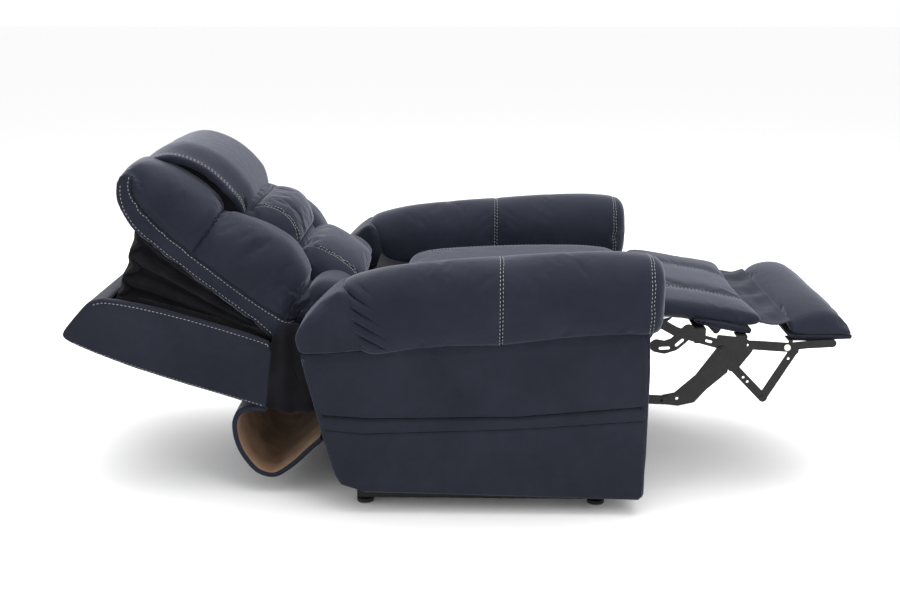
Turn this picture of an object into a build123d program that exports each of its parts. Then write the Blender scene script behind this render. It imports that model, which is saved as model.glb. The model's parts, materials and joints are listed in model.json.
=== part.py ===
from build123d import *
import math
import os

# Lift recliner chair, drawn fully reclined with the footrest out.
# +Z up, the sitter looks along -Y, +X is the sitter's left.
# The origin is on the floor under the middle of the chair's box.
# Each linkage plate lies in a plane of constant X, so its profile is drawn in
# the YZ plane: local x is Y and local y is Z.

# ---------------------------------------------------------------- driving dimensions (mm)
# joints
B0 = (-180, 58)        # lift arm on the base
C0 = (235, 118)        # lift arm on the chassis
B1 = (-270, 50)        # front link on the base
C1 = (-20, 90)         # front link on the chassis
P = (250, 450)         # backrest on the chassis
H = (452, 425)         # headrest section on the backrest
O = (-485, 475)        # leg rest on the chassis
F = (-830, 400)        # foot pad on the leg rest
L0 = (-360, 290)       # lower stay on the chassis
L1 = (-665, 390)       # upper stay on the leg rest
KNEE_STAY = (-527, 259)
V0 = (-700, 345)       # upper flip link on the leg rest bracket
V2 = (-850, 390)       # lower flip link on the foot pad bracket
KNEE_V = (-780, 263)
LIFT_GROUND = (210, 60)
LIFT_ROD = (-120, 140)
RECLINE_GROUND = (-80, 330)
RECLINE_ROD = (256, 350)
LEG_GROUND = (-110, 290)
LEG_ROD = (-580, 425)
HEAD_GROUND = (590, 330)
HEAD_ROD = (690, 570)
RECLINE_X = 70
LEG_X = -70
HEAD_X = -60

# lateral planes, |x| of the inner and outer face of each plate
PL_V2 = (284.6, 287.4)      # lower flip link
PL_FOOT = (288.2, 291.0)    # foot pad bracket and upper flip link
PL_LEG = (291.8, 294.8)     # leg rest bracket
PL_STAY_U = (295.6, 298.6)  # upper stay
PL_STAY_L = (299.4, 302.4)  # lower stay
PL_HOOK = (299.4, 304.4)    # hinge brackets, inboard of the side plates
PL_SIDE = (306, 311)        # chassis side plates
PL_LIFT = (315, 321)        # lift arms
PL_FRONT = (324, 330)       # front links
PL_LUG1 = (333, 339)        # outer base lugs
PL_RAIL = (345, 375)        # base rails

# sizes
SEAT_HALF = 285             # half width of the seat and lower back cushions
PAD_HALF = 282              # half width of the leg and foot pads
BACK_HALF = 312             # half width of the upper back cushions
SHELL_HALF = 335            # half width of the backrest shell
ARM_IN = 306                # inner face of an arm
ARM_OUT = 440               # outer face of an arm's side panel
PILLOW_OUT = 457            # outer face of an arm pillow
PIN_R = 5
HOLE_R = 5.05
CLEAR = 0.3


# ---------------------------------------------------------------- shared shapes
def yz_solid(points, x0, x1, round_r=0.0):
    """A flat plate or block: a closed profile in the YZ plane, from x0 to x1."""
    with BuildPart() as body:
        with BuildSketch(Plane.YZ.offset(x0)) as profile:
            with BuildLine():
                Polyline(*points, close=True)
            make_face()
            if round_r:
                fillet(profile.vertices(), round_r)
        extrude(amount=x1 - x0)
    return body.part


def bar(points, width, x0, x1, holes=(), hole_r=HOLE_R):
    """A flat link: a round-ended strip along a route, with pivot holes."""
    with BuildPart() as body:
        with BuildSketch(Plane.YZ.offset(x0)):
            for a, b in zip(points, points[1:]):
                mid = ((a[0] + b[0]) / 2, (a[1] + b[1]) / 2)
                SlotCenterPoint(mid, b, width)
            if holes:
                with Locations(*holes):
                    Circle(hole_r, mode=Mode.SUBTRACT)
        extrude(amount=x1 - x0)
    return body.part


def pin(at, r, x0, x1, bore=0.0):
    """A pin, tube or boss along X."""
    with BuildPart() as body:
        with BuildSketch(Plane.YZ.offset(x0)):
            with Locations(at):
                Circle(r)
                if bore:
                    Circle(bore, mode=Mode.SUBTRACT)
        extrude(amount=x1 - x0)
    return body.part


def block(x0, x1, y0, y1, z0, z1, r=0.0):
    """An upright box between two corners, with its upright edges rounded by r."""
    with BuildPart() as body:
        with BuildSketch(Plane.XY.offset(z0)) as profile:
            with Locations(((x0 + x1) / 2, (y0 + y1) / 2)):
                Rectangle(x1 - x0, y1 - y0)
            if r:
                fillet(profile.vertices(), r)
        extrude(amount=z1 - z0)
    return body.part


def both_sides(shape):
    """The shape and its mirror image across the chair's middle plane."""
    with BuildPart() as pair:
        add(shape)
        mirror(about=Plane.YZ)
    return pair.part


def unit(a, b):
    d = math.dist(a, b)
    return ((b[0] - a[0]) / d, (b[1] - a[1]) / d)


def along(a, b, s):
    u = unit(a, b)
    return (a[0] + u[0] * s, a[1] + u[1] * s)


def axis_plane(a, b, s, x):
    """A plane across the line from a to b (YZ points), s along it, at side x."""
    u = unit(a, b)
    p = along(a, b, s)
    return Plane(origin=(x, p[0], p[1]), x_dir=(1, 0, 0), z_dir=(0, u[0], u[1]))


def rod_tube(a, b, x, s0, s1, r, bore=0.0):
    """A round bar or tube on the line from a to b, from s0 to s1 along it."""
    with BuildPart() as body:
        with BuildSketch(axis_plane(a, b, s0, x)):
            Circle(r)
            if bore:
                Circle(bore, mode=Mode.SUBTRACT)
        extrude(amount=s1 - s0)
    return body.part


def actuator_tube(a, b, x, tube_len):
    """The fixed half of a linear drive: rear eye, hollow tube and end bush."""
    with BuildPart() as body:
        add(rod_tube(a, b, x, 22, 46, 16))
        add(rod_tube(a, b, x, 46, tube_len, 16, 12.5))
        with BuildSketch(axis_plane(a, b, tube_len - 14, x)):
            Circle(17.5)
            Circle(10.05, mode=Mode.SUBTRACT)
        extrude(amount=14)
        add(bar([a, along(a, b, 26)], 22, x - 7, x + 7))
        add(pin(a, HOLE_R, x - 8, x + 8), mode=Mode.SUBTRACT)
    return body.part


def actuator_rod(a, b, x, start):
    """The moving half: a polished rod ending in an eye at b."""
    d = math.dist(a, b)
    with BuildPart() as body:
        add(rod_tube(a, b, x, start, d - 21, 10))
        add(bar([along(a, b, d - 26), b], 20, x - 6, x + 6))
        add(pin(b, 6.5, x - 8, x + 8), mode=Mode.SUBTRACT)
    return body.part


def motor_case(a, b, x, s0, s1, side, drop=1):
    """Gearbox case around the tube with the motor barrel beside it."""
    with BuildPart() as body:
        with BuildSketch(axis_plane(a, b, s0, x)):
            with Locations((side * 14, 0)):
                RectangleRounded(76, 44, 9)
        extrude(amount=s1 - s0)
        with BuildSketch(axis_plane(a, b, s0, x)):
            with Locations((side * 36, 0)):
                Circle(19)
        extrude(amount=(s1 - s0) + 62)
        with BuildSketch(axis_plane(a, b, s0 - 2, x)):
            Circle(18.0)
        extrude(amount=(s1 - s0) + 66, mode=Mode.SUBTRACT)
    return body.part


def ears(at, foot, x, gap, t, width, hole_r=HOLE_R):
    """A fork: two ears either side of x, with a pin hole at the tip."""
    with BuildPart() as body:
        for x0 in (x - gap - t, x + gap):
            add(bar([at, foot], width, x0, x0 + t, [at], hole_r))
    return body.part


def soft_block(points, x0, x1, round_r=0.0, side_r=0.0):
    """A cushion: a profile in the YZ plane with rounded corners and rounded side edges."""
    with BuildPart() as body:
        with BuildSketch(Plane.YZ.offset(x0)) as profile:
            with BuildLine():
                Polyline(*points, close=True)
            make_face()
            if round_r:
                fillet(profile.vertices(), round_r)
        extrude(amount=x1 - x0)
        if side_r:
            for face in (body.faces().sort_by(Axis.X)[0], body.faces().sort_by(Axis.X)[-1]):
                fillet(face.edges(), side_r)
    return body.part


os.makedirs("parts", exist_ok=True)
pieces = []


def keep(part, name):
    part.label = name
    export_step(part, "parts/" + name + ".step")
    pieces.append((name, part.volume, part.is_valid))


# ================================================================ base
with BuildPart() as base_rails:
    add(both_sides(block(PL_RAIL[0], PL_RAIL[1], -375, 256, 16, 46)))
    # hollow box section with 3 mm walls
    add(both_sides(block(PL_RAIL[0] + 3, PL_RAIL[1] - 3, -376, 257, 19, 43)), mode=Mode.SUBTRACT)
keep(base_rails.part, "base_rails")

with BuildPart() as base_cross_tubes:
    for y0, y1, z1 in ((-340, -315, 40), (-192, -168, 38), (224, 248, 42)):
        add(block(-345, 345, y0, y1, 16, z1))
        add(block(-346, 346, y0 + 3, y1 - 3, 19, z1 - 3), mode=Mode.SUBTRACT)
keep(base_cross_tubes.part, "base_cross_tubes")

with BuildPart() as base_lugs:
    # inner lugs for the lift arms stand on the middle cross tube
    lug_b0 = yz_solid([(-194, 38), (-166, 38), (-168, 70), (-192, 70)], PL_SIDE[0], PL_SIDE[1])
    pin_b0 = pin(B0, PIN_R, PL_SIDE[0], PL_LIFT[1] + 2)
    head_b0 = pin(B0, 8, PL_LIFT[1] + 0.4, PL_LIFT[1] + 2)
    # outer lugs for the front links are welded to the rails
    lug_b1 = yz_solid([(-288, 18), (-252, 18), (-256, 64), (-284, 64)], PL_LUG1[0], PL_LUG1[1])
    pad_b1 = block(PL_LUG1[1], PL_RAIL[0], -288, -252, 18, 44)
    pin_b1 = pin(B1, PIN_R, PL_FRONT[0] - 2, PL_LUG1[1])
    head_b1 = pin(B1, 8, PL_FRONT[0] - 2, PL_FRONT[0] - 0.4)
    add(both_sides(lug_b0 + pin_b0 + head_b0))
    add(both_sides(lug_b1 + pad_b1 + pin_b1 + head_b1))
    # fork and pin for the lift drive on the rear cross tube
    add(yz_solid([(224, 42), (246, 42), (222, 72), (198, 72), (198, 48)], -14, -9))
    add(yz_solid([(224, 42), (246, 42), (222, 72), (198, 72), (198, 48)], 9, 14))
    add(pin(LIFT_GROUND, PIN_R, -16, 16))
keep(base_lugs.part, "base_lugs")

with BuildPart() as glides:
    # screw-in feet: a stem and a broad round cup
    for x in (-360, 360):
        for y in (-355, 236):
            with BuildSketch(Plane.XY.offset(3)):
                with Locations((x, y)):
                    Circle(22)
            extrude(amount=9)
            with BuildSketch(Plane.XY.offset(12)):
                with Locations((x, y)):
                    Circle(9)
            extrude(amount=4)
keep(glides.part, "glides")

with BuildPart() as glide_pads:
    with BuildSketch(Plane.XY):
        with Locations((-360, -355), (360, -355), (-360, 236), (360, 236)):
            Circle(21)
    extrude(amount=3)
keep(glide_pads.part, "glide_pads")

# ================================================================ lift linkage
with BuildPart() as lift_arm_plates:
    # dips under the front link's upper pivot, and carries a horn for the cross tube
    arm = bar([B0, (-110, 50), (-20, 50), (110, 66), C0], 24, PL_LIFT[0], PL_LIFT[1])
    horn = yz_solid([(-130, 52), (-88, 48), (-94, 184), (-122, 184)], PL_LIFT[0], PL_LIFT[1], 3)
    boss = pin(B0, 15, PL_LIFT[0], PL_LIFT[1]) + pin(C0, 15, PL_LIFT[0], PL_LIFT[1])
    plate = arm + horn + boss
    plate = plate - pin(B0, HOLE_R, PL_LIFT[0] - 1, PL_LIFT[1] + 1)
    plate = plate - pin(C0, HOLE_R, PL_LIFT[0] - 1, PL_LIFT[1] + 1)
    add(both_sides(plate))
keep(lift_arm_plates.part, "lift_arm_plates")

LIFT_TUBE = (-108, 170)
with BuildPart() as lift_cross_tube:
    add(pin(LIFT_TUBE, 11, -PL_LIFT[0], PL_LIFT[0], 8.5))
    add(ears(LIFT_ROD, (-112, 160), 0, 9, 4, 20, 4.05))
    add(pin(LIFT_TUBE, 8.5, -PL_LIFT[0], PL_LIFT[0]), mode=Mode.SUBTRACT)
keep(lift_cross_tube.part, "lift_cross_tube")

with BuildPart() as front_links:
    add(both_sides(bar([B1, C1], 24, PL_FRONT[0], PL_FRONT[1], [B1], HOLE_R)))
    add(both_sides(pin(B1, HOLE_R, PL_FRONT[0] - 1, PL_FRONT[1] + 1)), mode=Mode.SUBTRACT)
keep(front_links.part, "front_links")

with BuildPart() as lift_actuator_tube:
    add(actuator_tube(LIFT_GROUND, LIFT_ROD, 0, 205))
keep(lift_actuator_tube.part, "lift_actuator_tube")

with BuildPart() as lift_motor_housing:
    add(motor_case(LIFT_GROUND, LIFT_ROD, 0, 48, 96, -1))
keep(lift_motor_housing.part, "lift_motor_housing")

with BuildPart() as lift_actuator_rod:
    add(actuator_rod(LIFT_GROUND, LIFT_ROD, 0, 70))
keep(lift_actuator_rod.part, "lift_actuator_rod")

# ================================================================ chassis frame
side_profile = [
    (-430, 300), (-418, 378), (-250, 384), (60, 384), (262, 384), (292, 330), (292, 170),
    (262, 100), (215, 100), (150, 130), (20, 118), (2, 76), (-42, 76), (-54, 195), (-330, 200),
    (-378, 262), (-412, 268),
]
with BuildPart() as side_plates:
    side = yz_solid(side_profile, PL_SIDE[0], PL_SIDE[1], 6)
    # lightening slots, open through the plate
    for y0, y1, z0, z1 in ((-230, -120, 230, 262), (40, 130, 170, 230), (-60, 40, 300, 340)):
        side = side - yz_solid([(y0, z0), (y1, z0), (y1, z1), (y0, z1)], PL_SIDE[0] - 1, PL_SIDE[1] + 1, 12)
    for at in (C0, C1, L0):
        side = side - pin(at, PIN_R, PL_SIDE[0] - 1, PL_SIDE[1] + 1)
    add(both_sides(side))
keep(side_plates.part, "side_plates")

CROSS = [(-285, 275), (-92, 308), (150, 262), (278, 190)]
with BuildPart() as chassis_cross_tubes:
    for at in CROSS:
        add(pin(at, 12, -PL_SIDE[0], PL_SIDE[0], 9.5))
    add(ears(RECLINE_GROUND, (-92, 312), RECLINE_X, 9, 4, 22, PIN_R))
    add(ears(LEG_GROUND, (-98, 300), LEG_X, 9, 4, 22, PIN_R))
    add(pin(CROSS[1], 9.5, -PL_SIDE[0], PL_SIDE[0]), mode=Mode.SUBTRACT)
keep(chassis_cross_tubes.part, "chassis_cross_tubes")

with BuildPart() as hinge_brackets:
    # hooks that reach forward to the leg rest hinge
    hook = bar([(-400, 340), (-446, 386), (-482, 440), O], 20, PL_HOOK[0], PL_HOOK[1], [O], PIN_R)
    foot = block(PL_HOOK[1], PL_SIDE[0], -425, -385, 325, 360)
    # uprights that carry the backrest hinge
    riser = yz_solid([(222, 300), (282, 300), (268, 455), (232, 455)], PL_HOOK[0], PL_HOOK[1], 3)
    riser = riser + pin(P, 18, PL_HOOK[0], PL_HOOK[1]) - pin(P, PIN_R, PL_HOOK[0] - 1, PL_HOOK[1] + 1)
    riser_foot = block(PL_HOOK[1], PL_SIDE[0], 226, 278, 302, 368)
    # brackets that hold the seat frame
    seat_b = block(266, PL_HOOK[0], -250, -222, 398, 404) + block(PL_HOOK[0], PL_HOOK[1], -250, -222, 340, 404)
    seat_b = seat_b + block(PL_HOOK[1], PL_SIDE[0], -250, -222, 342, 380)
    seat_r = block(266, PL_HOOK[0], 92, 120, 398, 404) + block(PL_HOOK[0], PL_HOOK[1], 92, 120, 340, 404)
    seat_r = seat_r + block(PL_HOOK[1], PL_SIDE[0], 92, 120, 342, 380)
    for shape in (hook, foot, riser, riser_foot, seat_b, seat_r):
        add(both_sides(shape))
keep(hinge_brackets.part, "hinge_brackets")

with BuildPart() as chassis_pins:
    def headed(at, x0, x1, head0, head1, r=PIN_R, hr=8):
        return both_sides(pin(at, r, min(x0, head0), max(x1, head1)) + pin(at, hr, head0, head1))
    add(headed(C0, PL_SIDE[0], PL_LIFT[1], PL_LIFT[1] + 0.4, PL_LIFT[1] + 3))
    # the front link's pivot boss: the link laps beside it, held by a rivet head drawn on the link
    add(both_sides(pin(C1, PIN_R, PL_SIDE[0], PL_SIDE[1]) + pin(C1, 9, PL_SIDE[1], PL_FRONT[0] - 0.8)))
    add(headed(L0, PL_STAY_L[0], PL_SIDE[1], PL_STAY_L[0] - 2.2, PL_STAY_L[0] - 0.3))
    add(both_sides(pin(L0, 9, PL_STAY_L[1] + 0.3, PL_SIDE[0]) - pin(L0, PIN_R, 290, 320)))
    # leg rest hinge pins run inboard through a spacer
    add(both_sides(pin(O, PIN_R, PL_LEG[0] - 2.6, PL_HOOK[1]) + pin(O, 8, PL_LEG[0] - 2.6, PL_LEG[0] - 0.3)))
    add(both_sides(pin(O, 8, PL_LEG[1] + 0.3, PL_HOOK[0]) - pin(O, PIN_R, 290, 320)))
    # backrest hinge pins
    add(both_sides(pin(P, PIN_R, 285.6, PL_HOOK[1]) + pin(P, 9, 285.6, 287.7)))
    add(both_sides(pin(P, 10, 294.3, PL_HOOK[0]) - pin(P, PIN_R, 290, 320)))
    # drive pins
    add(pin(RECLINE_GROUND, PIN_R, RECLINE_X - 15, RECLINE_X + 15))
    add(pin(LEG_GROUND, PIN_R, LEG_X - 15, LEG_X + 15))
keep(chassis_pins.part, "chassis_pins")

with BuildPart() as seat_frame:
    add(block(-SEAT_HALF, SEAT_HALF, -464, -442, 404, 425))
    add(block(-SEAT_HALF, SEAT_HALF, 112, 134, 404, 425))
    # the side rails are separate pieces, butted between the front and rear rails
    add(block(-SEAT_HALF, -SEAT_HALF + 22, -441.8, 111.8, 404, 425))
    add(block(SEAT_HALF - 22, SEAT_HALF, -441.8, 111.8, 404, 425))
keep(seat_frame.part, "seat_frame")

with BuildPart() as seat_springs:
    # zigzag springs clipped between the front and rear rails
    for k in range(5):
        x0 = (k - 2) * 98
        zig = [(x0, -439)]
        n = 13
        for i in range(n):
            yy = -430 + i * (532 / (n - 1))
            zig.append((x0 + (22 if i % 2 else -22), yy))
        zig.append((x0, 109))
        with BuildSketch(Plane.XY.offset(417)):
            with BuildLine():
                Polyline(*zig)
            trace(line_width=4)
        extrude(amount=4)
keep(seat_springs.part, "seat_springs")

# the cushion's thin rear tongue runs in under the backrest
seat_profile = [(-470, 428), (-470, 500), (-452, 526), (-400, 538), (-150, 540), (100, 528),
                (134, 514), (141, 498), (146, 462), (156, 455), (228, 449), (232, 436), (226, 428)]
with BuildPart() as seat_cushion:
    add(soft_block(seat_profile, -SEAT_HALF, SEAT_HALF))
keep(seat_cushion.part, "seat_cushion")

# ---------------------------------------------------------------- arms
outer_profile = [
    (380, 411), (343, 260), (324, 178), (305, 104), (291, 81), (214, 56), (-449, 41), (-464, 57),
    (-462, 287), (-460, 483), (-119, 454), (200, 431),
]
for side, sx in (("left", 1), ("right", -1)):
    with BuildPart() as outer_panel:
        x0, x1 = (ARM_OUT - 13, ARM_OUT) if sx > 0 else (-ARM_OUT, -ARM_OUT + 13)
        add(yz_solid(outer_profile, x0, x1))
    keep(outer_panel.part, "arm_outer_panel_" + side)

with BuildPart() as arm_inner_panels:
    inner = yz_solid([(-446, 386), (-446, 481), (-119, 454), (200, 431), (372, 413), (366, 386)], ARM_IN, ARM_IN + 12)
    add(both_sides(inner))
keep(arm_inner_panels.part, "arm_inner_panels")

with BuildPart() as arm_front_panels:
    front = yz_solid([(-462, 62), (-449, 62), (-447, 481), (-460, 482)], ARM_IN, ARM_OUT - 13.2)
    add(both_sides(front))
keep(arm_front_panels.part, "arm_front_panels")

with BuildPart() as arm_rear_panels:
    rear = yz_solid([(378, 412), (342, 262), (323, 180), (304, 106), (292, 106), (311, 182), (330, 264), (366, 412)],
                    338, ARM_OUT - 13.2)
    add(both_sides(rear))
keep(arm_rear_panels.part, "arm_rear_panels")

pillow_profile = [
    (-459, 487.5), (-490, 489), (-494, 520), (-494, 600), (-487, 634), (-462, 652), (-430, 661), (-370, 664),
    (-107, 650), (121, 630), (245, 600), (282, 582), (393, 471), (380, 415), (200, 435), (-119, 458),
]
for side, sx in (("left", 1), ("right", -1)):
    with BuildPart() as pillow:
        x0, x1 = (ARM_IN, PILLOW_OUT) if sx > 0 else (-PILLOW_OUT, -ARM_IN)
        with BuildSketch(Plane.YZ.offset(x0)):
            with BuildLine():
                Polyline(*pillow_profile, close=True)
            make_face()
        extrude(amount=x1 - x0)
        # the long top edges are rolled over
        tops = [e for e in pillow.edges().filter_by(lambda e: abs(e.center().X - x0) < 1e-3 or abs(e.center().X - x1) < 1e-3)
                if e.center().Z > 600 and -440 < e.center().Y < 200]
        chamfer(tops, 34)
    keep(pillow.part, "arm_pillow_" + side)

with BuildPart() as control_box:
    # mains inlet and motor controller, screwed to a cross tube
    add(block(-230, -130, 60, 137, 235, 275, 6))
    with BuildSketch(Plane.XZ.offset(-60)):
        with Locations((-180, 255)):
            Rectangle(28, 20)
    extrude(amount=-12, mode=Mode.SUBTRACT)
    add(block(-200, -160, 136.9, 138, 246, 264))
keep(control_box.part, "control_box")

# ================================================================ recline drive
with BuildPart() as recline_actuator_tube:
    add(actuator_tube(RECLINE_GROUND, RECLINE_ROD, RECLINE_X, 205))
keep(recline_actuator_tube.part, "recline_actuator_tube")
with BuildPart() as recline_motor_housing:
    add(motor_case(RECLINE_GROUND, RECLINE_ROD, RECLINE_X, 48, 96, 1))
keep(recline_motor_housing.part, "recline_motor_housing")
with BuildPart() as recline_actuator_rod:
    add(actuator_rod(RECLINE_GROUND, RECLINE_ROD, RECLINE_X, 70))
keep(recline_actuator_rod.part, "recline_actuator_rod")

# ================================================================ leg rest drive
with BuildPart() as leg_actuator_tube:
    add(actuator_tube(LEG_GROUND, LEG_ROD, LEG_X, 250))
keep(leg_actuator_tube.part, "leg_actuator_tube")
with BuildPart() as leg_motor_housing:
    add(motor_case(LEG_GROUND, LEG_ROD, LEG_X, 48, 96, -1))
keep(leg_motor_housing.part, "leg_motor_housing")
with BuildPart() as leg_actuator_rod:
    add(actuator_rod(LEG_GROUND, LEG_ROD, LEG_X, 195))
keep(leg_actuator_rod.part, "leg_actuator_rod")

# ================================================================ backrest
BACK_X = (288, 294)
BACK_TUBE = (268, 388)
with BuildPart() as back_rails:
    rail = bar([P, H, (478, 421), (800, 507)], 28, BACK_X[0], BACK_X[1])
    drop = bar([P, BACK_TUBE], 28, BACK_X[0], BACK_X[1])
    rail = rail + drop + pin(P, 17, BACK_X[0], BACK_X[1])
    rail = rail - pin(P, HOLE_R, BACK_X[0] - 1, BACK_X[1] + 1)
    # headrest hinge pins point inboard
    rail = rail + pin(H, PIN_R, 280.4, BACK_X[0]) + pin(H, 8, 287.2, BACK_X[0])
    add(both_sides(rail))
keep(back_rails.part, "back_rails")

with BuildPart() as back_cross_tubes:
    add(pin(BACK_TUBE, 11, -BACK_X[0], BACK_X[0], 8.5))
    add(ears(RECLINE_ROD, (265, 384), RECLINE_X, 9, 4, 20, 4.05))
    add(pin(BACK_TUBE, 8.5, -BACK_X[0], BACK_X[0]), mode=Mode.SUBTRACT)
    # tube inside the shell that carries the headrest drive
    add(pin((580, 303), 10, -320.5, 320.5))
    add(ears(HEAD_GROUND, (581, 306), HEAD_X, 9, 4, 20, PIN_R))
    add(pin(HEAD_GROUND, PIN_R, HEAD_X - 15, HEAD_X + 15))
keep(back_cross_tubes.part, "back_cross_tubes")

shell_profile = [
    (458, 411), (518, 436), (641, 475), (763, 508), (878, 530), (930, 512), (996, 438),
    (990, 420), (900, 374), (777, 330), (652, 290), (527, 251), (484, 238),
]
shell_cavity = [
    (440, 380), (473, 380), (496, 256), (527, 264), (652, 303), (777, 343), (900, 388), (968, 424),
    (912, 500), (870, 516), (862, 560), (440, 560),
]
with BuildPart() as back_shell:
    add(yz_solid(shell_profile, -SHELL_HALF, SHELL_HALF))
    fillet(back_shell.edges().filter_by(Axis.X).sort_by(Axis.Y)[-1], 4)
    add(yz_solid(shell_cavity, -SHELL_HALF + 14, SHELL_HALF - 14), mode=Mode.SUBTRACT)
keep(back_shell.part, "back_shell")

lower_back_profile = [
    (228, 520), (222, 540), (240, 562), (300, 606), (352, 645), (382, 644), (384, 636),
    (430, 452), (424, 446), (400, 452), (330, 476),
]
with BuildPart() as lower_back_cushion:
    add(soft_block(lower_back_profile, -SEAT_HALF, SEAT_HALF))
keep(lower_back_cushion.part, "lower_back_cushion")

with BuildPart() as headrest_bellows:
    # pleated cover of the wedge between the shell and the headrest section
    for x0, x1 in ((-318, -314), (314, 318)):
        add(yz_solid([(500, 440), (744, 510), (868, 532), (830, 700), (806, 690), (757, 648), (640, 553)], x0, x1))
keep(headrest_bellows.part, "headrest_bellows")

with BuildPart() as rear_skirt:
    # flexible dust cover that hangs between the shell and the chassis
    skirt_path = [(481, 230), (520, 236), (562, 218), (574, 180), (558, 118), (524, 60), (474, 46), (424, 78), (345, 150), (300, 190)]
    with BuildSketch(Plane.YZ.offset(-326)):
        with BuildLine():
            Polyline(*skirt_path)
        trace(line_width=5)
    extrude(amount=652)
    add(block(-340, 340, 200, 338, 60, 260), mode=Mode.SUBTRACT)
keep(rear_skirt.part, "rear_skirt")

# ================================================================ headrest section
with BuildPart() as headrest_board:
    board = yz_solid([(462, 446), (469, 433), (513, 466), (634, 555), (751, 650), (743, 661), (626, 567), (505, 478)],
                     -278, 278)
    add(board)
    ear = bar([H, (470, 447)], 22, 281.2, 286.6, [H], HOLE_R) + yz_solid(
        [(462, 448), (472, 436), (560, 502), (552, 514)], 278, 286.6)
    ear = ear - pin(H, HOLE_R, 281 - 2, 287.5)
    add(both_sides(ear))
    # fork for the headrest drive, behind the board
    add(ears(HEAD_ROD, (684, 598), HEAD_X, 9, 4, 20, 4.05))
    add(yz_solid([(634, 556), (751, 651), (744, 660), (627, 566)], HEAD_X - 40, HEAD_X + 40))
keep(headrest_board.part, "headrest_board")

side_bolster_profile = [
    (391, 642), (395, 652), (432, 672), (502, 702), (557, 722), (618, 774), (678, 822), (753, 848), (800, 836),
    (822, 800), (820, 745), (798, 697), (752, 664), (740, 665), (625, 570.5), (504, 481.5), (461, 450), (438, 455),
]
for side, sx in (("left", 1), ("right", -1)):
    with BuildPart() as bolster:
        x0, x1 = (160.5, BACK_HALF) if sx > 0 else (-BACK_HALF, -160.5)
        add(yz_solid(side_bolster_profile, x0, x1))
        # room for the board's hinge ears
        add(yz_solid([(430, 400), (480, 420), (580, 505), (552, 520), (455, 460)], 279.5 * sx, 288.5 * sx), mode=Mode.SUBTRACT)
    keep(bolster.part, "side_bolster_" + side)

mid_profile = [(391, 642), (397, 662), (415, 692), (436, 718), (470, 736), (509, 750), (527, 776), (534, 792),
               (634, 580), (625, 570.5), (504, 481.5), (461, 450), (438, 455)]
with BuildPart() as middle_bolsters:
    add(yz_solid(mid_profile, -160, 160))
keep(middle_bolsters.part, "middle_bolsters")

head_profile = [(535, 793), (545, 806), (575, 838), (618, 868), (660, 887), (704, 896), (764, 880), (812, 846), (824, 812),
                (822, 745), (800, 696), (752, 664), (740, 665), (635, 581)]
with BuildPart() as head_pillow:
    add(yz_solid(head_profile, -160, 160))
keep(head_pillow.part, "head_pillow")

with BuildPart() as head_actuator_tube:
    a, b, x, tube_len = HEAD_GROUND, HEAD_ROD, HEAD_X, 150
    add(rod_tube(a, b, x, 22, 46, 16))
    add(rod_tube(a, b, x, 46, tube_len, 16, 12.5))
    add(rod_tube(a, b, x, tube_len - 12, tube_len, 17.5, 10.05))
    add(bar([a, along(a, b, 26)], 22, x - 7, x + 7))
    add(pin(a, HOLE_R, x - 8, x + 8), mode=Mode.SUBTRACT)
keep(head_actuator_tube.part, "head_actuator_tube")
with BuildPart() as head_motor_housing:
    add(motor_case(HEAD_GROUND, HEAD_ROD, HEAD_X, 48, 92, 1))
keep(head_motor_housing.part, "head_motor_housing")
with BuildPart() as head_actuator_rod:
    add(actuator_rod(HEAD_GROUND, HEAD_ROD, HEAD_X, 112))
keep(head_actuator_rod.part, "head_actuator_rod")

# ================================================================ leg rest
with BuildPart() as leg_brackets:
    x0, x1 = PL_LEG
    plate = bar([O, (-548, 440), (-600, 424), (-665, 406), (-750, 405), F], 24, x0, x1)
    plate = plate + bar([(-690, 400), V0], 22, x0, x1) + bar([(-665, 406), L1], 24, x0, x1)
    # curved arm with slots that closes up against the hook when folded
    hook = bar([(-580, 442), (-563, 422), (-545, 406), (-522, 398), (-502, 402)], 34, x0, x1)
    hook = hook - bar([(-566, 417), (-552, 404)], 8, x0 - 1, x1 + 1) - bar([(-532, 396), (-512, 395)], 8, x0 - 1, x1 + 1)
    plate = plate + hook
    # broad gusset that carries the upper stay and the upper flip link
    plate = plate + yz_solid([(-652, 432), (-722, 425), (-742, 412), (-744, 390), (-716, 350), (-704, 333), (-688, 336),
                              (-670, 376), (-654, 398)], x0, x1, 5)
    for at in (O, L1, F, V0):
        plate = plate - pin(at, HOLE_R if at == O else PIN_R, x0 - 1, x1 + 1)
    plate = plate - bar([(-638, 413), (-622, 417)], 7, x0 - 1, x1 + 1) - bar([(-730, 405), (-712, 405)], 7, x0 - 1, x1 + 1)
    # rivets: upper stay, foot pad hinge, upper flip link
    plate = plate + pin(L1, PIN_R, x0, PL_STAY_U[1] + 2.2) + pin(L1, 8, PL_STAY_U[1] + 0.3, PL_STAY_U[1] + 2.2)
    plate = plate + pin(F, PIN_R, PL_FOOT[0] - 2.2, x1) + pin(F, 7, PL_FOOT[0] - 2.2, PL_FOOT[0] - 0.3)
    plate = plate + pin(V0, PIN_R, PL_FOOT[0] - 2.2, x1) + pin(V0, 8, PL_FOOT[0] - 2.2, PL_FOOT[0] - 0.3)
    # tabs folded in under the board
    for ty, tz in ((-610, 439), (-715, 421)):
        plate = plate + yz_solid([(ty - 14, tz - 30), (ty + 14, tz - 30), (ty + 14, tz + 9), (ty - 14, tz + 9)], x0, x1)
        plate = plate + block(262, x1, ty - 14, ty + 14, tz + 6, tz + 9)
    add(both_sides(plate))
    # fork for the leg rest drive, on a cross bar under the board
    add(block(-262.1, 262.1, -624, -596, 445, 448))
    add(ears(LEG_ROD, (-598, 440), LEG_X, 9, 4, 20, 4.05))
keep(leg_brackets.part, "leg_brackets")

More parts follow.
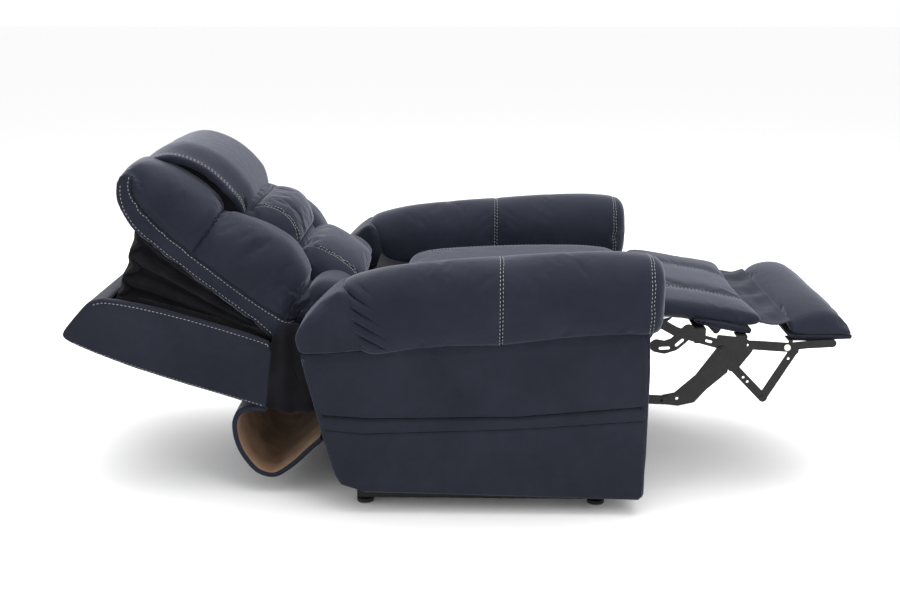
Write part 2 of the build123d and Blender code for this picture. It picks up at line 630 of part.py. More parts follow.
with BuildPart() as leg_board:
    add(yz_solid([(-545, 464), (-735, 430.5), (-737, 442.5), (-547, 476)], -PAD_HALF, PAD_HALF))
    add(block(-262, 262, -625, -595, 440, 449.5), mode=Mode.SUBTRACT)
    add(both_sides(block(260, 290, -625, -595, 440, 449.5)), mode=Mode.SUBTRACT)
    add(both_sides(block(260, 290, -730, -700, 420, 432)), mode=Mode.SUBTRACT)
keep(leg_board.part, "leg_board")

leg_profile = [(-484, 472), (-546, 476.6), (-738, 443.2), (-757, 446), (-770, 460), (-756, 474), (-715, 488), (-654, 500),
               (-580, 512), (-534, 522), (-497, 522), (-486, 512)]
with BuildPart() as leg_cushion:
    add(yz_solid(leg_profile, -PAD_HALF, PAD_HALF))
keep(leg_cushion.part, "leg_cushion")

with BuildPart() as footrest_web:
    # cloth between the two pads
    add(yz_solid([(-771, 458), (-800, 452), (-834, 458), (-834, 461), (-800, 455), (-771, 461)], -262, 262))
keep(footrest_web.part, "footrest_web")

# ================================================================ foot pad
with BuildPart() as foot_brackets:
    x0, x1 = PL_FOOT
    plate = bar([F, (-880, 406), (-944, 410)], 20, x0, x1) + bar([F, V2], 22, x0, x1)
    plate = plate - pin(F, HOLE_R, x0 - 1, x1 + 1)
    plate = plate - pin(V2, PIN_R, x0 - 1, x1 + 1)
    plate = plate + pin(V2, PIN_R, PL_V2[0] - 1.7, x1) + pin(V2, 7.5, PL_V2[0] - 1.7, PL_V2[0] - 0.3)
    # flange under the board, inboard of the lower flip link, bridged to the plate
    # only beside the hinge, where the link never swings
    plate = plate + block(250, 283.6, -950, -834, 414.5, 417.5) + block(283, x1, -842, -834, 414.5, 417.5)
    plate = plate + yz_solid([(-844, 404), (-834, 404), (-834, 417.5), (-844, 417.5)], x0, x1)
    add(both_sides(plate))
keep(foot_brackets.part, "foot_brackets")

with BuildPart() as foot_board:
    add(block(-PAD_HALF, PAD_HALF, -984, -842, 418, 430))
keep(foot_board.part, "foot_board")

foot_profile = [(-838, 432), (-990, 430.5), (-995.5, 442), (-995.5, 468), (-984, 484), (-936, 497), (-883, 491), (-848, 476),
                (-838, 462)]
with BuildPart() as foot_cushion:
    add(yz_solid(foot_profile, -PAD_HALF, PAD_HALF))
keep(foot_cushion.part, "foot_cushion")

with BuildPart() as pivot_caps:
    # white plastic caps on the foot pad hinges
    add(both_sides(pin(F, 8, PL_LEG[1], PL_LEG[1] + 4)))
keep(pivot_caps.part, "pivot_caps")

# ---------------------------------------------------------------- stays and flip links
with BuildPart() as footrest_stays_lower:
    x0, x1 = PL_STAY_L
    plate = bar([L0, (-450, 262), KNEE_STAY], 24, x0, x1) + pin(KNEE_STAY, 9, x1, x1 + 2)
    plate = plate - pin(L0, HOLE_R, x0 - 1, x1 + 1)
    for d in (40, 110):
        plate = plate - pin(along((-450, 262), KNEE_STAY, d - 40), 4, x0 - 1, x1 + 3)
    add(both_sides(plate))
keep(footrest_stays_lower.part, "footrest_stays_lower")

with BuildPart() as footrest_stays_upper:
    x0, x1 = PL_STAY_U
    # a broad belly below the line of its two pivots
    plate = yz_solid([(-670, 404), (-652, 397), (-604, 326), (-553, 278), (-521, 271), (-515, 257), (-528, 246),
                      (-563, 242), (-604, 252), (-634, 288), (-684, 334), (-688, 382)], x0, x1, 6)
    plate = plate - pin(L1, HOLE_R, x0 - 1, x1 + 1)
    plate = plate - pin((-560, 262), 4, x0 - 1, x1 + 1)
    add(both_sides(plate))
keep(footrest_stays_upper.part, "footrest_stays_upper")

with BuildPart() as flip_links_upper:
    x0, x1 = PL_FOOT
    plate = bar([V0, KNEE_V], 22, x0, x1) + pin(KNEE_V, 7, x1, x1 + 2)
    plate = plate - pin(V0, HOLE_R, x0 - 1, x1 + 1)
    for d in (38, 54):
        plate = plate - pin(along(V0, KNEE_V, d), 3.5, x0 - 1, x1 + 1)
    add(both_sides(plate))
keep(flip_links_upper.part, "flip_links_upper")

with BuildPart() as flip_links_lower:
    x0, x1 = PL_V2
    plate = bar([V2, KNEE_V], 22, x0, x1)
    plate = plate - pin(V2, HOLE_R, x0 - 1, x1 + 1)
    plate = plate - pin(along(V2, KNEE_V, 26), 3.5, x0 - 1, x1 + 1)
    add(both_sides(plate))
keep(flip_links_lower.part, "flip_links_lower")

for name, volume, ok in pieces:
    if not ok or volume <= 0:
        print("check", name, round(volume), ok)
print(len(pieces), "pieces")
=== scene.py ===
import json
import math

import bmesh
import bpy
import numpy as np
from mathutils import Matrix, Vector, noise
from mathutils.bvhtree import BVHTree
from mathutils.kdtree import KDTree


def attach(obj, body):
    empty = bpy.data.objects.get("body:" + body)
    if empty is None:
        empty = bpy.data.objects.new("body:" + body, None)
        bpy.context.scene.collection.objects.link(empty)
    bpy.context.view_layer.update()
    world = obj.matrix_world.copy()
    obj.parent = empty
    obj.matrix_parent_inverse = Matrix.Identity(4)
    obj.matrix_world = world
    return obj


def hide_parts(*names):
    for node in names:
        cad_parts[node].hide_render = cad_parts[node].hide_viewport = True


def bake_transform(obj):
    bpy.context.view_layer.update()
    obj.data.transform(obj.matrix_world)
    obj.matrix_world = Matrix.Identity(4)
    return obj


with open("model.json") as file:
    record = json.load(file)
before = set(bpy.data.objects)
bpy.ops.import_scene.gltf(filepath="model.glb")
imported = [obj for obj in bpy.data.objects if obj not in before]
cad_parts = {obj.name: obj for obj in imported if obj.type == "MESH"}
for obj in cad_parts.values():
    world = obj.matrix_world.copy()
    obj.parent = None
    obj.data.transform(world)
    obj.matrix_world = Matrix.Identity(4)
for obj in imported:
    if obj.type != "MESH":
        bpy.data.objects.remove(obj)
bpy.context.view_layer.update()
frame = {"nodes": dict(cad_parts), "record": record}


NODES = frame["nodes"]
scene = bpy.context.scene

# ------------------------------------------------------------------ camera
PITCH, YAW = math.radians(15.9), math.radians(1.2)
fwd = Vector((math.cos(PITCH) * math.cos(YAW), math.cos(PITCH) * math.sin(YAW), -math.sin(PITCH)))
right = Vector((math.sin(YAW), -math.cos(YAW), 0))
up = right.cross(fwd)
cam_data = bpy.data.cameras.new("camera")
cam_data.sensor_width = 36
cam_data.lens = 1123 * 36 / 900
cam = bpy.data.objects.new("camera", cam_data)
scene.collection.objects.link(cam)
cam.matrix_world = Matrix((
    (right.x, up.x, -fwd.x, -3.0),
    (right.y, up.y, -fwd.y, -0.037),
    (right.z, up.z, -fwd.z, 1.29),
    (0, 0, 0, 1)))
scene.camera = cam


# ------------------------------------------------------------------ materials
def new_mat(name):
    m = bpy.data.materials.new(name)
    m.use_nodes = True
    nt = m.node_tree
    nt.nodes.clear()
    out = nt.nodes.new("ShaderNodeOutputMaterial")
    bsdf = nt.nodes.new("ShaderNodeBsdfPrincipled")
    nt.links.new(bsdf.outputs[0], out.inputs[0])
    return m, nt, bsdf


def node(nt, kind, **kw):
    n = nt.nodes.new(kind)
    for k, v in kw.items():
        if k.startswith("i_"):
            n.inputs[k[2:].replace("_", " ")].default_value = v
        else:
            setattr(n, k, v)
    return n


def ramp(nt, fac, stops):
    r = nt.nodes.new("ShaderNodeValToRGB")
    el = r.color_ramp.elements
    while len(el) < len(stops):
        el.new(0.5)
    for e, (p, c) in zip(el, stops):
        e.position = p
        e.color = (*c, 1)
    nt.links.new(fac, r.inputs[0])
    return r


def suede(name, dark, mid, light, sheen=0.5, grain=0.35, rough=0.68):
    """Brushed faux leather: mottled colour, fine pebble grain and soft creases."""
    m, nt, b = new_mat(name)
    tc = node(nt, "ShaderNodeTexCoord")
    big = node(nt, "ShaderNodeTexNoise", i_Scale=5.0, i_Detail=5.0, i_Roughness=0.62)
    mid_n = node(nt, "ShaderNodeTexNoise", i_Scale=42.0, i_Detail=4.0, i_Roughness=0.6)
    fine = node(nt, "ShaderNodeTexNoise", i_Scale=1500.0, i_Detail=2.0)
    peb = node(nt, "ShaderNodeTexVoronoi", i_Scale=620.0)
    for t in (big, mid_n, fine, peb):
        nt.links.new(tc.outputs["Object"], t.inputs["Vector"])
    mixf = node(nt, "ShaderNodeMath", operation="MULTIPLY_ADD")
    mixf.inputs[1].default_value = 0.35
    nt.links.new(mid_n.outputs["Fac"], mixf.inputs[0])
    sc = node(nt, "ShaderNodeMath", operation="MULTIPLY")
    sc.inputs[1].default_value = 0.65
    nt.links.new(big.outputs["Fac"], sc.inputs[0])
    nt.links.new(sc.outputs[0], mixf.inputs[2])
    col = ramp(nt, mixf.outputs[0], [(0.32, dark), (0.5, mid), (0.68, light)])
    nt.links.new(col.outputs[0], b.inputs["Base Color"])
    rr = node(nt, "ShaderNodeMapRange")
    rr.inputs["From Min"].default_value = 0.3
    rr.inputs["From Max"].default_value = 0.7
    rr.inputs["To Min"].default_value = rough - 0.08
    rr.inputs["To Max"].default_value = rough + 0.08
    nt.links.new(mid_n.outputs["Fac"], rr.inputs["Value"])
    nt.links.new(rr.outputs[0], b.inputs["Roughness"])
    b1 = node(nt, "ShaderNodeBump", i_Strength=grain, i_Distance=0.0004)
    nt.links.new(peb.outputs["Distance"], b1.inputs["Height"])
    b2 = node(nt, "ShaderNodeBump", i_Strength=grain * 0.6, i_Distance=0.0003)
    nt.links.new(fine.outputs["Fac"], b2.inputs["Height"])
    nt.links.new(b1.outputs[0], b2.inputs["Normal"])
    b3 = node(nt, "ShaderNodeBump", i_Strength=0.18, i_Distance=0.004)
    nt.links.new(mid_n.outputs["Fac"], b3.inputs["Height"])
    nt.links.new(b2.outputs[0], b3.inputs["Normal"])
    nt.links.new(b3.outputs[0], b.inputs["Normal"])
    b.inputs["Sheen Weight"].default_value = sheen
    b.inputs["Sheen Roughness"].default_value = 0.36
    b.inputs["Sheen Tint"].default_value = (0.80, 0.84, 1.0, 1)
    b.inputs["Specular IOR Level"].default_value = 0.12
    return m


def woven(name, dark, light, scale=900.0, sheen=0.1):
    """Plain woven backing cloth."""
    m, nt, b = new_mat(name)
    tc = node(nt, "ShaderNodeTexCoord")
    w1 = node(nt, "ShaderNodeTexWave", i_Scale=scale / 6.28, i_Distortion=0.6)
    w1.bands_direction = "Y"
    w2 = node(nt, "ShaderNodeTexWave", i_Scale=scale / 6.28, i_Distortion=0.6)
    w2.bands_direction = "Z"
    n = node(nt, "ShaderNodeTexNoise", i_Scale=14.0, i_Detail=5.0)
    for t in (w1, w2, n):
        nt.links.new(tc.outputs["Object"], t.inputs["Vector"])
    mul = node(nt, "ShaderNodeMath", operation="MULTIPLY")
    nt.links.new(w1.outputs["Fac"], mul.inputs[0])
    nt.links.new(w2.outputs["Fac"], mul.inputs[1])
    col = ramp(nt, n.outputs["Fac"], [(0.35, dark), (0.65, light)])
    nt.links.new(col.outputs[0], b.inputs["Base Color"])
    bp = node(nt, "ShaderNodeBump", i_Strength=0.3, i_Distance=0.0003)
    nt.links.new(mul.outputs[0], bp.inputs["Height"])
    nt.links.new(bp.outputs[0], b.inputs["Normal"])
    b.inputs["Roughness"].default_value = 0.9
    b.inputs["Specular IOR Level"].default_value = 0.1
    b.inputs["Sheen Weight"].default_value = sheen
    return m


def metal(name, dark, light, rough=0.4, metallic=0.3, wear=None):
    m, nt, b = new_mat(name)
    tc = node(nt, "ShaderNodeTexCoord")
    n = node(nt, "ShaderNodeTexNoise", i_Scale=70.0, i_Detail=6.0, i_Roughness=0.65)
    f = node(nt, "ShaderNodeTexNoise", i_Scale=900.0, i_Detail=2.0)
    nt.links.new(tc.outputs["Object"], n.inputs["Vector"])
    nt.links.new(tc.outputs["Object"], f.inputs["Vector"])
    col = ramp(nt, n.outputs["Fac"], [(0.35, dark), (0.66, light)])
    if wear:
        geo = node(nt, "ShaderNodeNewGeometry")
        wr = ramp(nt, geo.outputs["Pointiness"], [(0.52, (0, 0, 0)), (0.60, (1, 1, 1))])
        mx = node(nt, "ShaderNodeMix", data_type="RGBA")
        nt.links.new(wr.outputs[0], mx.inputs["Factor"])
        nt.links.new(col.outputs[0], mx.inputs[6])
        mx.inputs[7].default_value = (*wear, 1)
        nt.links.new(mx.outputs[2], b.inputs["Base Color"])
    else:
        nt.links.new(col.outputs[0], b.inputs["Base Color"])
    rr = node(nt, "ShaderNodeMapRange")
    rr.inputs["To Min"].default_value = rough - 0.1
    rr.inputs["To Max"].default_value = rough + 0.12
    nt.links.new(n.outputs["Fac"], rr.inputs["Value"])
    nt.links.new(rr.outputs[0], b.inputs["Roughness"])
    bp = node(nt, "ShaderNodeBump", i_Strength=0.12, i_Distance=0.0003)
    nt.links.new(f.outputs["Fac"], bp.inputs["Height"])
    nt.links.new(bp.outputs[0], b.inputs["Normal"])
    b.inputs["Metallic"].default_value = metallic
    if metallic < 0.5:
        b.inputs["Specular IOR Level"].default_value = 0.28
    return m


def timber(name):
    m, nt, b = new_mat(name)
    tc = node(nt, "ShaderNodeTexCoord")
    mp = node(nt, "ShaderNodeMapping")
    mp.inputs["Scale"].default_value = (3, 30, 30)
    nt.links.new(tc.outputs["Object"], mp.inputs[0])
    n = node(nt, "ShaderNodeTexNoise", i_Scale=3.0, i_Detail=8.0, i_Roughness=0.7)
    nt.links.new(mp.outputs[0], n.inputs["Vector"])
    col = ramp(nt, n.outputs["Fac"], [(0.3, (0.32, 0.2, 0.1)), (0.55, (0.5, 0.35, 0.2)), (0.75, (0.62, 0.46, 0.28))])
    nt.links.new(col.outputs[0], b.inputs["Base Color"])
    bp = node(nt, "ShaderNodeBump", i_Strength=0.25, i_Distance=0.0006)
    nt.links.new(n.outputs["Fac"], bp.inputs["Height"])
    nt.links.new(bp.outputs[0], b.inputs["Normal"])
    b.inputs["Roughness"].default_value = 0.7
    return m


NAVY = suede("navy_suede", (0.0085, 0.0100, 0.0185), (0.0125, 0.0145, 0.0250), (0.0180, 0.0205, 0.0330), sheen=0.34)
NAVY_SIDE = suede("navy_side", (0.0085, 0.0100, 0.0175), (0.0122, 0.0140, 0.0235), (0.0170, 0.0190, 0.0300), sheen=0.20)
# near-black lining for the head pillow core; the same material colours the seam cords, where it is painted shade in the
# sewn joints
DARK_LINING_AND_SEAM_SHADE = suede("dark_lining_and_painted_seam_shade", (0.004, 0.0042, 0.006), (0.006, 0.0064, 0.009), (0.010, 0.0105, 0.014), sheen=0.05)
BLACK_CLOTH = woven("black_cloth", (0.0035, 0.0035, 0.005), (0.009, 0.009, 0.012), sheen=0.04)
BROWN_CLOTH = woven("brown_lining", (0.20, 0.115, 0.062), (0.34, 0.215, 0.130), scale=700.0)
THREAD = suede("thread", (0.20, 0.20, 0.215), (0.27, 0.27, 0.28), (0.34, 0.335, 0.34), sheen=0.1, grain=0.5)
STEEL = metal("black_enamel", (0.006, 0.006, 0.0065), (0.013, 0.012, 0.012), 0.45, 0.0)
ZINC = metal("zinc_plate", (0.42, 0.43, 0.45), (0.62, 0.63, 0.66), 0.34, 0.95)
CHROME = metal("polished_rod", (0.7, 0.7, 0.72), (0.85, 0.85, 0.87), 0.16, 1.0)
PLASTIC = metal("black_plastic", (0.008, 0.008, 0.009), (0.018, 0.018, 0.019), 0.55, 0.0)
WHITE = metal("white_plastic", (0.72, 0.72, 0.7), (0.82, 0.82, 0.8), 0.45, 0.0)
FELT = woven("grey_felt", (0.22, 0.22, 0.21), (0.36, 0.36, 0.34))
WOOD = timber("frame_timber")

BY_SLOT = {"upholstery": NAVY, "bellows_cloth": BLACK_CLOTH, "black_steel": STEEL, "zinc_steel": ZINC,
           "rod_chrome": CHROME, "black_plastic": PLASTIC, "white_plastic": WHITE, "grey_felt": FELT,
           "frame_wood": WOOD}
for sub in frame["record"]["subparts"]:
    ob = NODES[sub["node"]]
    ob.data.materials.clear()
    ob.data.materials.append(BY_SLOT[sub["material_slot"]])
for name in ("arm_inner_panels", "headrest_board"):
    NODES[name].data.materials.clear()
    NODES[name].data.materials.append(BLACK_CLOTH)


# ------------------------------------------------------------------ shape tools
def smoothstep(a, b, x):
    t = min(1.0, max(0.0, (x - a) / (b - a)))
    return t * t * (3 - 2 * t)


def lerp_table(table, x):
    if x <= table[0][0]:
        return table[0][1]
    for (a, va), (b, vb) in zip(table, table[1:]):
        if x <= b:
            return va + (vb - va) * (x - a) / (b - a)
    return table[-1][1]


def hermite_table(table, x):
    """Smooth interpolation through a table of (x, value)."""
    n = len(table)
    if x <= table[0][0]:
        return table[0][1]
    if x >= table[-1][0]:
        return table[-1][1]
    for i in range(n - 1):
        if x <= table[i + 1][0]:
            break
    x0, y0 = table[i]
    x1, y1 = table[i + 1]
    m0 = (y1 - table[i - 1][1]) / (x1 - table[i - 1][0]) if i > 0 else (y1 - y0) / (x1 - x0)
    m1 = (table[i + 2][1] - y0) / (table[i + 2][0] - x0) if i + 2 < n else (y1 - y0) / (x1 - x0)
    h = x1 - x0
    t = (x - x0) / h
    return ((2 * t ** 3 - 3 * t * t + 1) * y0 + (t ** 3 - 2 * t * t + t) * h * m0
            + (-2 * t ** 3 + 3 * t * t) * y1 + (t ** 3 - t * t) * h * m1)


def resample_closed(points, n):
    pts = [Vector(p) for p in points]
    seg = [(pts[(i + 1) % len(pts)] - p).length for i, p in enumerate(pts)]
    total = sum(seg)
    out, i, acc = [], 0, 0.0
    for k in range(n):
        d = total * k / n
        while acc + seg[i] < d:
            acc += seg[i]
            i += 1
        t = (d - acc) / seg[i]
        out.append(pts[i].lerp(pts[(i + 1) % len(pts)], t))
    return out


def chaikin(points, times=2):
    for _ in range(times):
        out = []
        n = len(points)
        for i in range(n):
            a, b = Vector(points[i]), Vector(points[(i + 1) % n])
            out.append(a.lerp(b, 0.25))
            out.append(a.lerp(b, 0.75))
        points = out
    return points


def resample_open(points, step):
    pts = [Vector(p) for p in points]
    out = [pts[0].copy()]
    carry = 0.0
    for a, b in zip(pts, pts[1:]):
        L = (b - a).length
        if L < 1e-9:
            continue
        d = step - carry
        while d <= L:
            out.append(a.lerp(b, d / L))
            d += step
        carry = L - (d - step)
    return out


def smooth_open(points, times=2):
    for _ in range(times):
        out = [Vector(points[0])]
        for a, b in zip(points, points[1:]):
            a, b = Vector(a), Vector(b)
            out += [a.lerp(b, 0.25), a.lerp(b, 0.75)]
        out.append(Vector(points[-1]))
        points = out
    return points


def mesh_object(name, verts, faces, mat, smooth=True):
    me = bpy.data.meshes.new(name)
    me.from_pydata([tuple(v) for v in verts], [], faces)
    me.validate()
    bm = bmesh.new()
    bm.from_mesh(me)
    bmesh.ops.recalc_face_normals(bm, faces=bm.faces)
    bm.to_mesh(me)
    bm.free()
    if smooth:
        me.polygons.foreach_set("use_smooth", [True] * len(me.polygons))
    me.materials.append(mat)
    ob = bpy.data.objects.new(name, me)
    scene.collection.objects.link(ob)
    return ob


def rings_object(name, rings, mat, closed_ends=True):
    n = len(rings[0])
    verts = [p for r in rings for p in r]
    faces = []
    for i in range(len(rings) - 1):
        for j in range(n):
            a, b = i * n + j, i * n + (j + 1) % n
            faces.append((a, b, b + n, a + n))
    if closed_ends:
        for base, ring in ((0, rings[0]), ((len(rings) - 1) * n, rings[-1])):
            c = sum((Vector(p) for p in ring), Vector()) / n
            verts.append(c)
            k = len(verts) - 1
            for j in range(n):
                faces.append((base + j, base + (j + 1) % n, k))
    return mesh_object(name, verts, faces, mat)


def pad(name, poly, x0, x1, mat, r=0.02, n=150, weight=None, shape=None, nx=44, rounds=2, power=2.0):
    """A stuffed form: a YZ profile carried across X, drawn in towards its two sides."""
    ring = resample_closed(chaikin([(p[0], p[1], 0) for p in poly], rounds), n)
    m = len(ring)
    nor = []
    area = sum(ring[i].x * ring[(i + 1) % m].y - ring[(i + 1) % m].x * ring[i].y for i in range(m))
    sgn = 1 if area > 0 else -1
    for i in range(m):
        t = ring[(i + 1) % m] - ring[i - 1]
        nor.append(Vector((t.y, -t.x, 0)).normalized() * sgn)
    xs = []
    k_edge = 12
    for i in range(k_edge):
        q = i / k_edge
        xs.append((x0 + r * (1 - math.sin(q * math.pi / 2)) * 0 + r * (1 - math.cos(q * math.pi / 2)), 1 - q))
    inner0, inner1 = x0 + r, x1 - r
    for i in range(nx + 1):
        xs.append((inner0 + (inner1 - inner0) * i / nx, 0.0))
    for i in range(k_edge - 1, -1, -1):
        q = i / k_edge
        xs.append((x1 - r * (1 - math.cos(q * math.pi / 2)), 1 - q))
    rings = []
    for x, _ in xs:
        e = min(x - x0, x1 - x)
        q = max(0.0, 1 - e / r) if r > 0 else 0
        inset = r * (1 - (max(0.0, 1 - q ** power)) ** (1 / power))
        out = []
        for p, nn in zip(ring, nor):
            w = 1.0 if weight is None else weight(p.x, p.y, x)
            v = p - nn * (inset * w)
            co = Vector((x, v.x, v.y))
            if shape:
                co = shape(co)
            out.append(co)
        rings.append(out)
    return rings_object(name, rings, mat)


def remesh(ob, voxel):
    bpy.context.view_layer.objects.active = ob
    md = ob.modifiers.new("r", "REMESH")
    md.mode = "VOXEL"
    md.voxel_size = voxel
    md.use_smooth_shade = True
    apply_mods(ob)


def apply_mods(ob):
    dg = bpy.context.evaluated_depsgraph_get()
    ev = ob.evaluated_get(dg)
    me = bpy.data.meshes.new_from_object(ev)
    mats = [m for m in ob.data.materials]
    ob.modifiers.clear()
    old = ob.data
    ob.data = me
    me.materials.clear()
    for m in mats:
        me.materials.append(m)
    bpy.data.meshes.remove(old)
    me.polygons.foreach_set("use_smooth", [True] * len(me.polygons))


def coords(ob):
    co = np.empty(len(ob.data.vertices) * 3)
    ob.data.vertices.foreach_get("co", co)
    return co.reshape(-1, 3)


def set_coords(ob, co):
    ob.data.vertices.foreach_set("co", np.asarray(co, float).ravel())
    ob.data.update()


def normals(ob):
    nn = np.empty(len(ob.data.vertices) * 3)
    ob.data.vertices.foreach_get("normal", nn)
    return nn.reshape(-1, 3)


SIMS = []


def cushion(ob, cap=0.02, pressure=4.0, shrink=-0.02, voxel=0.0055, pins=(), pin_r=0.012, bend=0.6):
    """Queues a piece for the pressure simulation; pins are seam lines that stay put."""
    remesh(ob, voxel)
    SIMS.append(dict(ob=ob, cap=cap, pressure=pressure, shrink=shrink, pins=pins, pin_r=pin_r, bend=bend, rest=coords(ob)))
    return ob


def run_sims(frames=18):
    if not SIMS:
        return
    scene.frame_start, scene.frame_end = 1, frames
    for s in SIMS:
        ob = s["ob"]
        if s["pins"]:
            pts = [p for line in s["pins"] for p in resample_open(line, 0.004)]
            kd = KDTree(len(pts))
            for i, p in enumerate(pts):
                kd.insert(p, i)
            kd.balance()
            vg = ob.vertex_groups.new(name="pin")
            for v in ob.data.vertices:
                d = kd.find(v.co)[2]
                if d < s["pin_r"]:
                    vg.add([v.index], 1.0 - 0.5 * d / s["pin_r"], "REPLACE")
        md = ob.modifiers.new("cloth", "CLOTH")
        cs = md.settings
        cs.quality = 4
        cs.mass = 0.25
        cs.tension_stiffness = 18
        cs.compression_stiffness = 18
        cs.shear_stiffness = 6
        cs.bending_stiffness = s["bend"]
        cs.air_damping = 2.0
        cs.use_pressure = True
        cs.uniform_pressure_force = s["pressure"]
        cs.shrink_min = s["shrink"]
        cs.effector_weights.gravity = 0.0
        if s["pins"]:
            cs.vertex_group_mass = "pin"
        md.point_cache.frame_start = 1
        md.point_cache.frame_end = frames
    for f in range(1, frames + 1):
        scene.frame_set(f)
    dg = bpy.context.evaluated_depsgraph_get()
    done = []
    for s in SIMS:
        ev = s["ob"].evaluated_get(dg)
        me = ev.to_mesh()
        co = np.empty(len(me.vertices) * 3)
        me.vertices.foreach_get("co", co)
        ev.to_mesh_clear()
        done.append(co.reshape(-1, 3))
    for s, co in zip(SIMS, done):
        ob = s["ob"]
        ob.modifiers.clear()
        ob.vertex_groups.clear()
        d = co - s["rest"]
        L = np.linalg.norm(d, axis=1, keepdims=True)
        cap = s["cap"]
        scale = np.where(L > 1e-9, cap * np.tanh(L / cap) / np.maximum(L, 1e-9), 0)
        set_coords(ob, s["rest"] + d * scale)
    scene.frame_set(1)


def relax(ob, times=1, factor=0.5):
    bm = bmesh.new()
    bm.from_mesh(ob.data)
    for _ in range(times):
        bmesh.ops.smooth_vert(bm, verts=bm.verts, factor=factor, use_axis_x=True, use_axis_y=True, use_axis_z=True)
    bm.to_mesh(ob.data)
    bm.free()


def subdivide(ob, levels=1):
    md = ob.modifiers.new("s", "SUBSURF")
    md.levels = levels
    md.render_levels = levels
    apply_mods(ob)


def groove(ob, lines, depth=0.003, width=0.005, piping=0.0):
    """Presses seam lines into a piece; piping raises a soft lip either side."""
    if not lines:
        return
    pts = [p for line in lines for p in resample_open(line, 0.002)]
    kd = KDTree(len(pts))
    for i, p in enumerate(pts):
        kd.insert(p, i)
    kd.balance()
    co = coords(ob)
    nn = normals(ob)
    reach = width * 3.5
    for i in range(len(co)):
        d = kd.find(co[i])[2]
        if d < reach:
            a = -depth * math.exp(-(d / width) ** 2)
            if piping:
                a += piping * math.exp(-((d - width * 1.9) / width) ** 2)
            co[i] += nn[i] * a
    set_coords(ob, co)


def ruffle(ob, fn):
    """Moves each vertex along its normal by fn(position)."""
    co = coords(ob)
    nn = normals(ob)
    for i in range(len(co)):
        a = fn(co[i][0], co[i][1], co[i][2])
        if a:
            co[i] += nn[i] * a
    set_coords(ob, co)


def bvh(ob):
    bm = bmesh.new()
    bm.from_mesh(ob.data)
    t = BVHTree.FromBMesh(bm)
    bm.free()
    return t


def on_surface(tree, pts, direction=None):
    out = []
    for p in pts:
        if direction is not None:
            d = Vector(direction).normalized()
            hit = tree.ray_cast(Vector(p) - d * 0.3, d, 0.6)
            if hit[0] is None:
                hit = tree.find_nearest(Vector(p))
        else:
            hit = tree.find_nearest(Vector(p))
        if hit[0] is not None:
            out.append((hit[0], hit[1]))
    return out


def line_on(tree, pts, step=0.004, direction=None):
    return [h[0] for h in on_surface(tree, resample_open(pts, step), direction)]


def side_shift(tree, line, off):
    """The same line moved sideways over the surface by off."""
    out = []
    for i, p in enumerate(line):
        a = line[max(0, i - 2)]
        b = line[min(len(line) - 1, i + 2)]
        t = (b - a)
        if t.length < 1e-7:
            continue
        hit = tree.find_nearest(p)
        s = t.normalized().cross(hit[1]).normalized()
        q = tree.find_nearest(p + s * off)
        out.append(q[0])
    return out


STITCH_SETS = {}


def stitch(key, ob, line, pitch=0.0100, length=0.0062, r=0.00085, tree=None, lift=0.0006):
    """Adds thread stitches along a line on a piece."""
    tree = tree or bvh(ob)
    bm = STITCH_SETS.setdefault(key, bmesh.new())
    pts = resample_open(line, pitch)
    for i, p in enumerate(pts[:-1]):
        q = pts[i + 1]
        t = (q - p)
        if t.length < 1e-6:
            continue
        t.normalize()
        c = p.lerp(q, 0.5)
        hit = tree.find_nearest(c)
        if hit[0] is None:
            continue
        n = hit[1]
        s = n.cross(t).normalized()
        n2 = t.cross(s).normalized()
        c = hit[0] + n * lift
        h = length / 2
        rows = []
        for du, rad, dn in ((-h, 0.25, -0.9), (-h * 0.6, 0.95, 0.0), (0, 1.1, 0.25), (h * 0.6, 0.95, 0.0), (h, 0.25, -0.9)):
            row = []
            for k in range(6):
                a = math.tau * k / 6
                row.append(bm.verts.new(c + t * du + (s * math.cos(a) + n2 * math.sin(a)) * r * rad + n * dn * r))
            rows.append(row)
        for ra, rb in zip(rows, rows[1:]):
            for k in range(6):
                bm.faces.new((ra[k], ra[(k + 1) % 6], rb[(k + 1) % 6], rb[k]))
        bm.faces.new(rows[0][::-1])
        bm.faces.new(rows[-1])


def double_stitch(key, ob, line, gap=0.0095, tree=None, **kw):
    tree = tree or bvh(ob)
    for off in (-gap / 2, gap / 2):
        stitch(key, ob, side_shift(tree, line, off), tree=tree, **kw)


SEAM_SHADE_SETS = {}


def seam(key, tree, line, r=0.0011, lift=0.0):
    """Painted seam shade: a fine dark cord laid along a line, half sunk in the cover, standing in for the shadow in a
    sewn joint.
    """
    bm = SEAM_SHADE_SETS.setdefault(key, bmesh.new())
    pts = resample_open(line, 0.005)
    if len(pts) < 3:
        return
    prev = None
    for i, p in enumerate(pts):
        t = (pts[min(len(pts) - 1, i + 1)] - pts[max(0, i - 1)])
        if t.length < 1e-7:
            continue
        t.normalize()
        hit = tree.find_nearest(p)
        n = hit[1]
        sd = n.cross(t)
        if sd.length < 1e-6:
            continue
        sd.normalize()
        n = t.cross(sd)
        c = hit[0] + n * lift
        k = r * (0.3 if i in (0, len(pts) - 1) else 1)
        row = [bm.verts.new(c + (sd * math.cos(math.tau * q / 6) + n * math.sin(math.tau * q / 6)) * k) for q in range(6)]
        if prev:
            for q in range(6):
                bm.faces.new((prev[q], prev[(q + 1) % 6], row[(q + 1) % 6], row[q]))
        else:
            bm.faces.new(row[::-1])
        prev = row
    if prev:
        bm.faces.new(prev)


